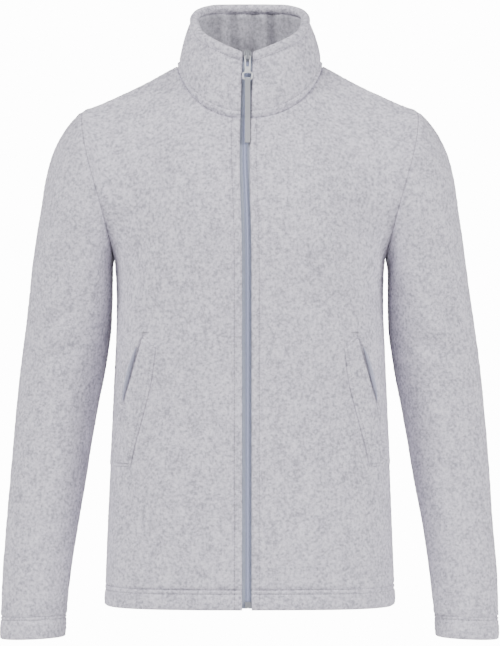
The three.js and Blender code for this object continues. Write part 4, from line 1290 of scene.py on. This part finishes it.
def ribbon_piece():
    """Flat ribbon, doubled through the tab's ring, its ends hanging together."""
    x = float(zip_x(SLIDER_Z))
    bar_z = RING["z"] - (RING["tall"] + RING["hole_tall"]) / 2
    bar = HEAD @ Vector((0, -TAB_GAP - TAB_WALL / 2, bar_z))
    layer, lift = RIBBON["layer"], RIBBON["lift"]
    z = np.linspace(RIBBON["end"], RIBBON["top"], 22)
    radius = RIBBON["hole"] + layer / 2
    turn = np.linspace(0, math.pi, 13)
    loop = np.stack([bar.y + radius * np.cos(turn), bar.z + radius * np.sin(turn)], -1)
    behind = np.stack([zip_level(z) - lift - layer / 2, z], -1)
    ahead = np.stack([zip_level(z) - lift - 1.5 * layer, z], -1)[::-1]
    line = np.concatenate([behind, loop, ahead])
    run = arc(line, 0)
    smooth = hermite(run, line, np.linspace(0, run[-1], 150))
    ahead = unit(np.gradient(smooth, axis=0))
    out = np.stack([ahead[:, 1], -ahead[:, 0]], -1)
    across = np.linspace(-1, 1, 13)
    thick = 0.3 * np.sqrt(np.clip(1 - np.abs(across) ** 6, 0.08, 1)) + 0.03 * np.cos(across * 5 * math.pi)
    sides = []
    for sign in (1, -1):
        y, z = np.moveaxis(smooth[:, None] + sign * thick[:, None] * out[:, None], -1, 0)
        sides.append(pack3(x + RIBBON["half"] * across, y, z))
    piece = make_piece("ribbon_puller", loft(wrap(*sides)), "ribbon", ["zip_ribbon"], "pull_tab")
    down = np.linspace(RIBBON["top"], RIBBON["end"], 12)
    path = [(x, bar.y, bar.z)] + [(x, float(zip_level(z)) - lift - layer, z) for z in down]
    path = np.array(path) * MM
    round(float(arc(path, 0)[-1]), 3)
    return piece


# Camera and studio
PIXEL = 1.25
CAMERA_AWAY = 4500
FRAME_TALL = 646
FRAME_MIDDLE_Z = (57 - FRAME_TALL / 2) * PIXEL
FILM = 36
# The middle of the jacket, at which the lights are aimed
AIM = (0, 0, -0.35)
# Each light's name, place, size and power
LIGHTS = (
    ("key", (-2.4, -1.8, 1.9), 1.5, 140),
    ("fill", (2.5, -1.8, 1.2), 1.5, 106),
    ("behind", (0, 3.6, 0.3), 2.4, 90),
)
FLOOR_Z = -0.95
FLOOR_RADIUS = 2.1
FLOOR_STEPS = 96
SKY_LIGHT = 0.28
SKY_SHOWN = 14.0


def make_camera():
    camera = bpy.data.cameras.new("camera")
    camera.sensor_width = FILM
    camera.lens = FILM * CAMERA_AWAY / (FRAME_TALL * PIXEL)
    camera.clip_end = 100
    holder = new_object("camera", camera)
    holder.location = (0, -CAMERA_AWAY * MM, FRAME_MIDDLE_Z * MM)
    holder.rotation_euler = (math.pi / 2, 0, 0)
    bpy.context.scene.camera = holder


def area_light(name, place, size, power):
    light = bpy.data.lights.new(name, "AREA")
    light.shape = "DISK"
    light.size = size
    light.energy = power
    holder = new_object(name, light)
    holder.location = place
    holder.rotation_euler = (Vector(AIM) - Vector(place)).to_track_quat("-Z", "Y").to_euler()


def make_studio():
    """Round pale floor, soft lights and an even sky that shows nearly white."""
    turn = turns(FLOOR_STEPS)
    rim = pack3(FLOOR_RADIUS * np.cos(turn), FLOOR_RADIUS * np.sin(turn), FLOOR_Z)
    mesh = bpy.data.meshes.new("studio_floor")
    mesh.from_pydata(rim.tolist(), [], [list(range(FLOOR_STEPS))])
    material, _, shader = new_material("studio_paper")
    set_values(shader, Base_Color=(0.93, 0.93, 0.93, 1), Roughness=0.9)
    mesh.materials.append(material)
    new_object("studio_floor", mesh)
    world = bpy.data.worlds.new("studio_sky")
    world.use_nodes = True
    tree = world.node_tree
    sky = tree.nodes["Background"]
    set_values(sky, Color=(1, 1, 1, 1))
    shown = add_node(tree, "LightPath").outputs["Is Camera Ray"]
    strength = add_node(tree, "MapRange", [("Value", shown)], To_Min=SKY_LIGHT, To_Max=SKY_SHOWN)
    tree.links.new(strength.outputs["Result"], sky.inputs["Strength"])
    bpy.context.scene.world = world
    for light in LIGHTS:
        area_light(*light)


make_camera()
make_studio()
fronts = {name: front_piece(f"front_{name}", side) for name, side in SIDES.items()}
back = back_piece()
sleeves = {name: sleeve_piece(f"sleeve_{name}", side) for name, side in SIDES.items()}
collar = collar_piece()

for name, side in SIDES.items():
    front, sleeve = fronts[name], sleeves[name]
    bare, sunk = surface_of(front["outer"]), surface_of(front["sunk"])
    welt = welt_piece(f"welt_{name}", front, bare)
    facing = facing_piece(f"pocket_facing_{name}", front, sunk)
    tape = tape_piece(name, side)
    lines = [(front, "up", value) for value in HEM_STITCHES]
    lines += [(front, "centre", ZIP_STITCH[side], 1), (welt, "from_inner", WELT_STITCHES["inner"], 1)]
    lines += [(welt, end, WELT_STITCHES["end"]) for end in ("from_start", "from_end")]
    seams = sew(f"front_{name}", lines, bartack(bare, side))
    cuff = sew(f"cuff_{name}", [(sleeve, "up", value) for value in CUFF_STITCHES], closed=True)
back_sewing = sew("back", [(back, "up", value) for value in HEM_STITCHES])
collar_lines = ("from_top", CREST_STITCH, 1), ("up", BAND_STITCH, 1)
collar_sewing = sew("collar", [(collar[side], *line) for line in collar_lines for side in (-1, 1)])

coil_piece()
slider_piece()
tab_piece()
box_piece()
ribbon_piece()
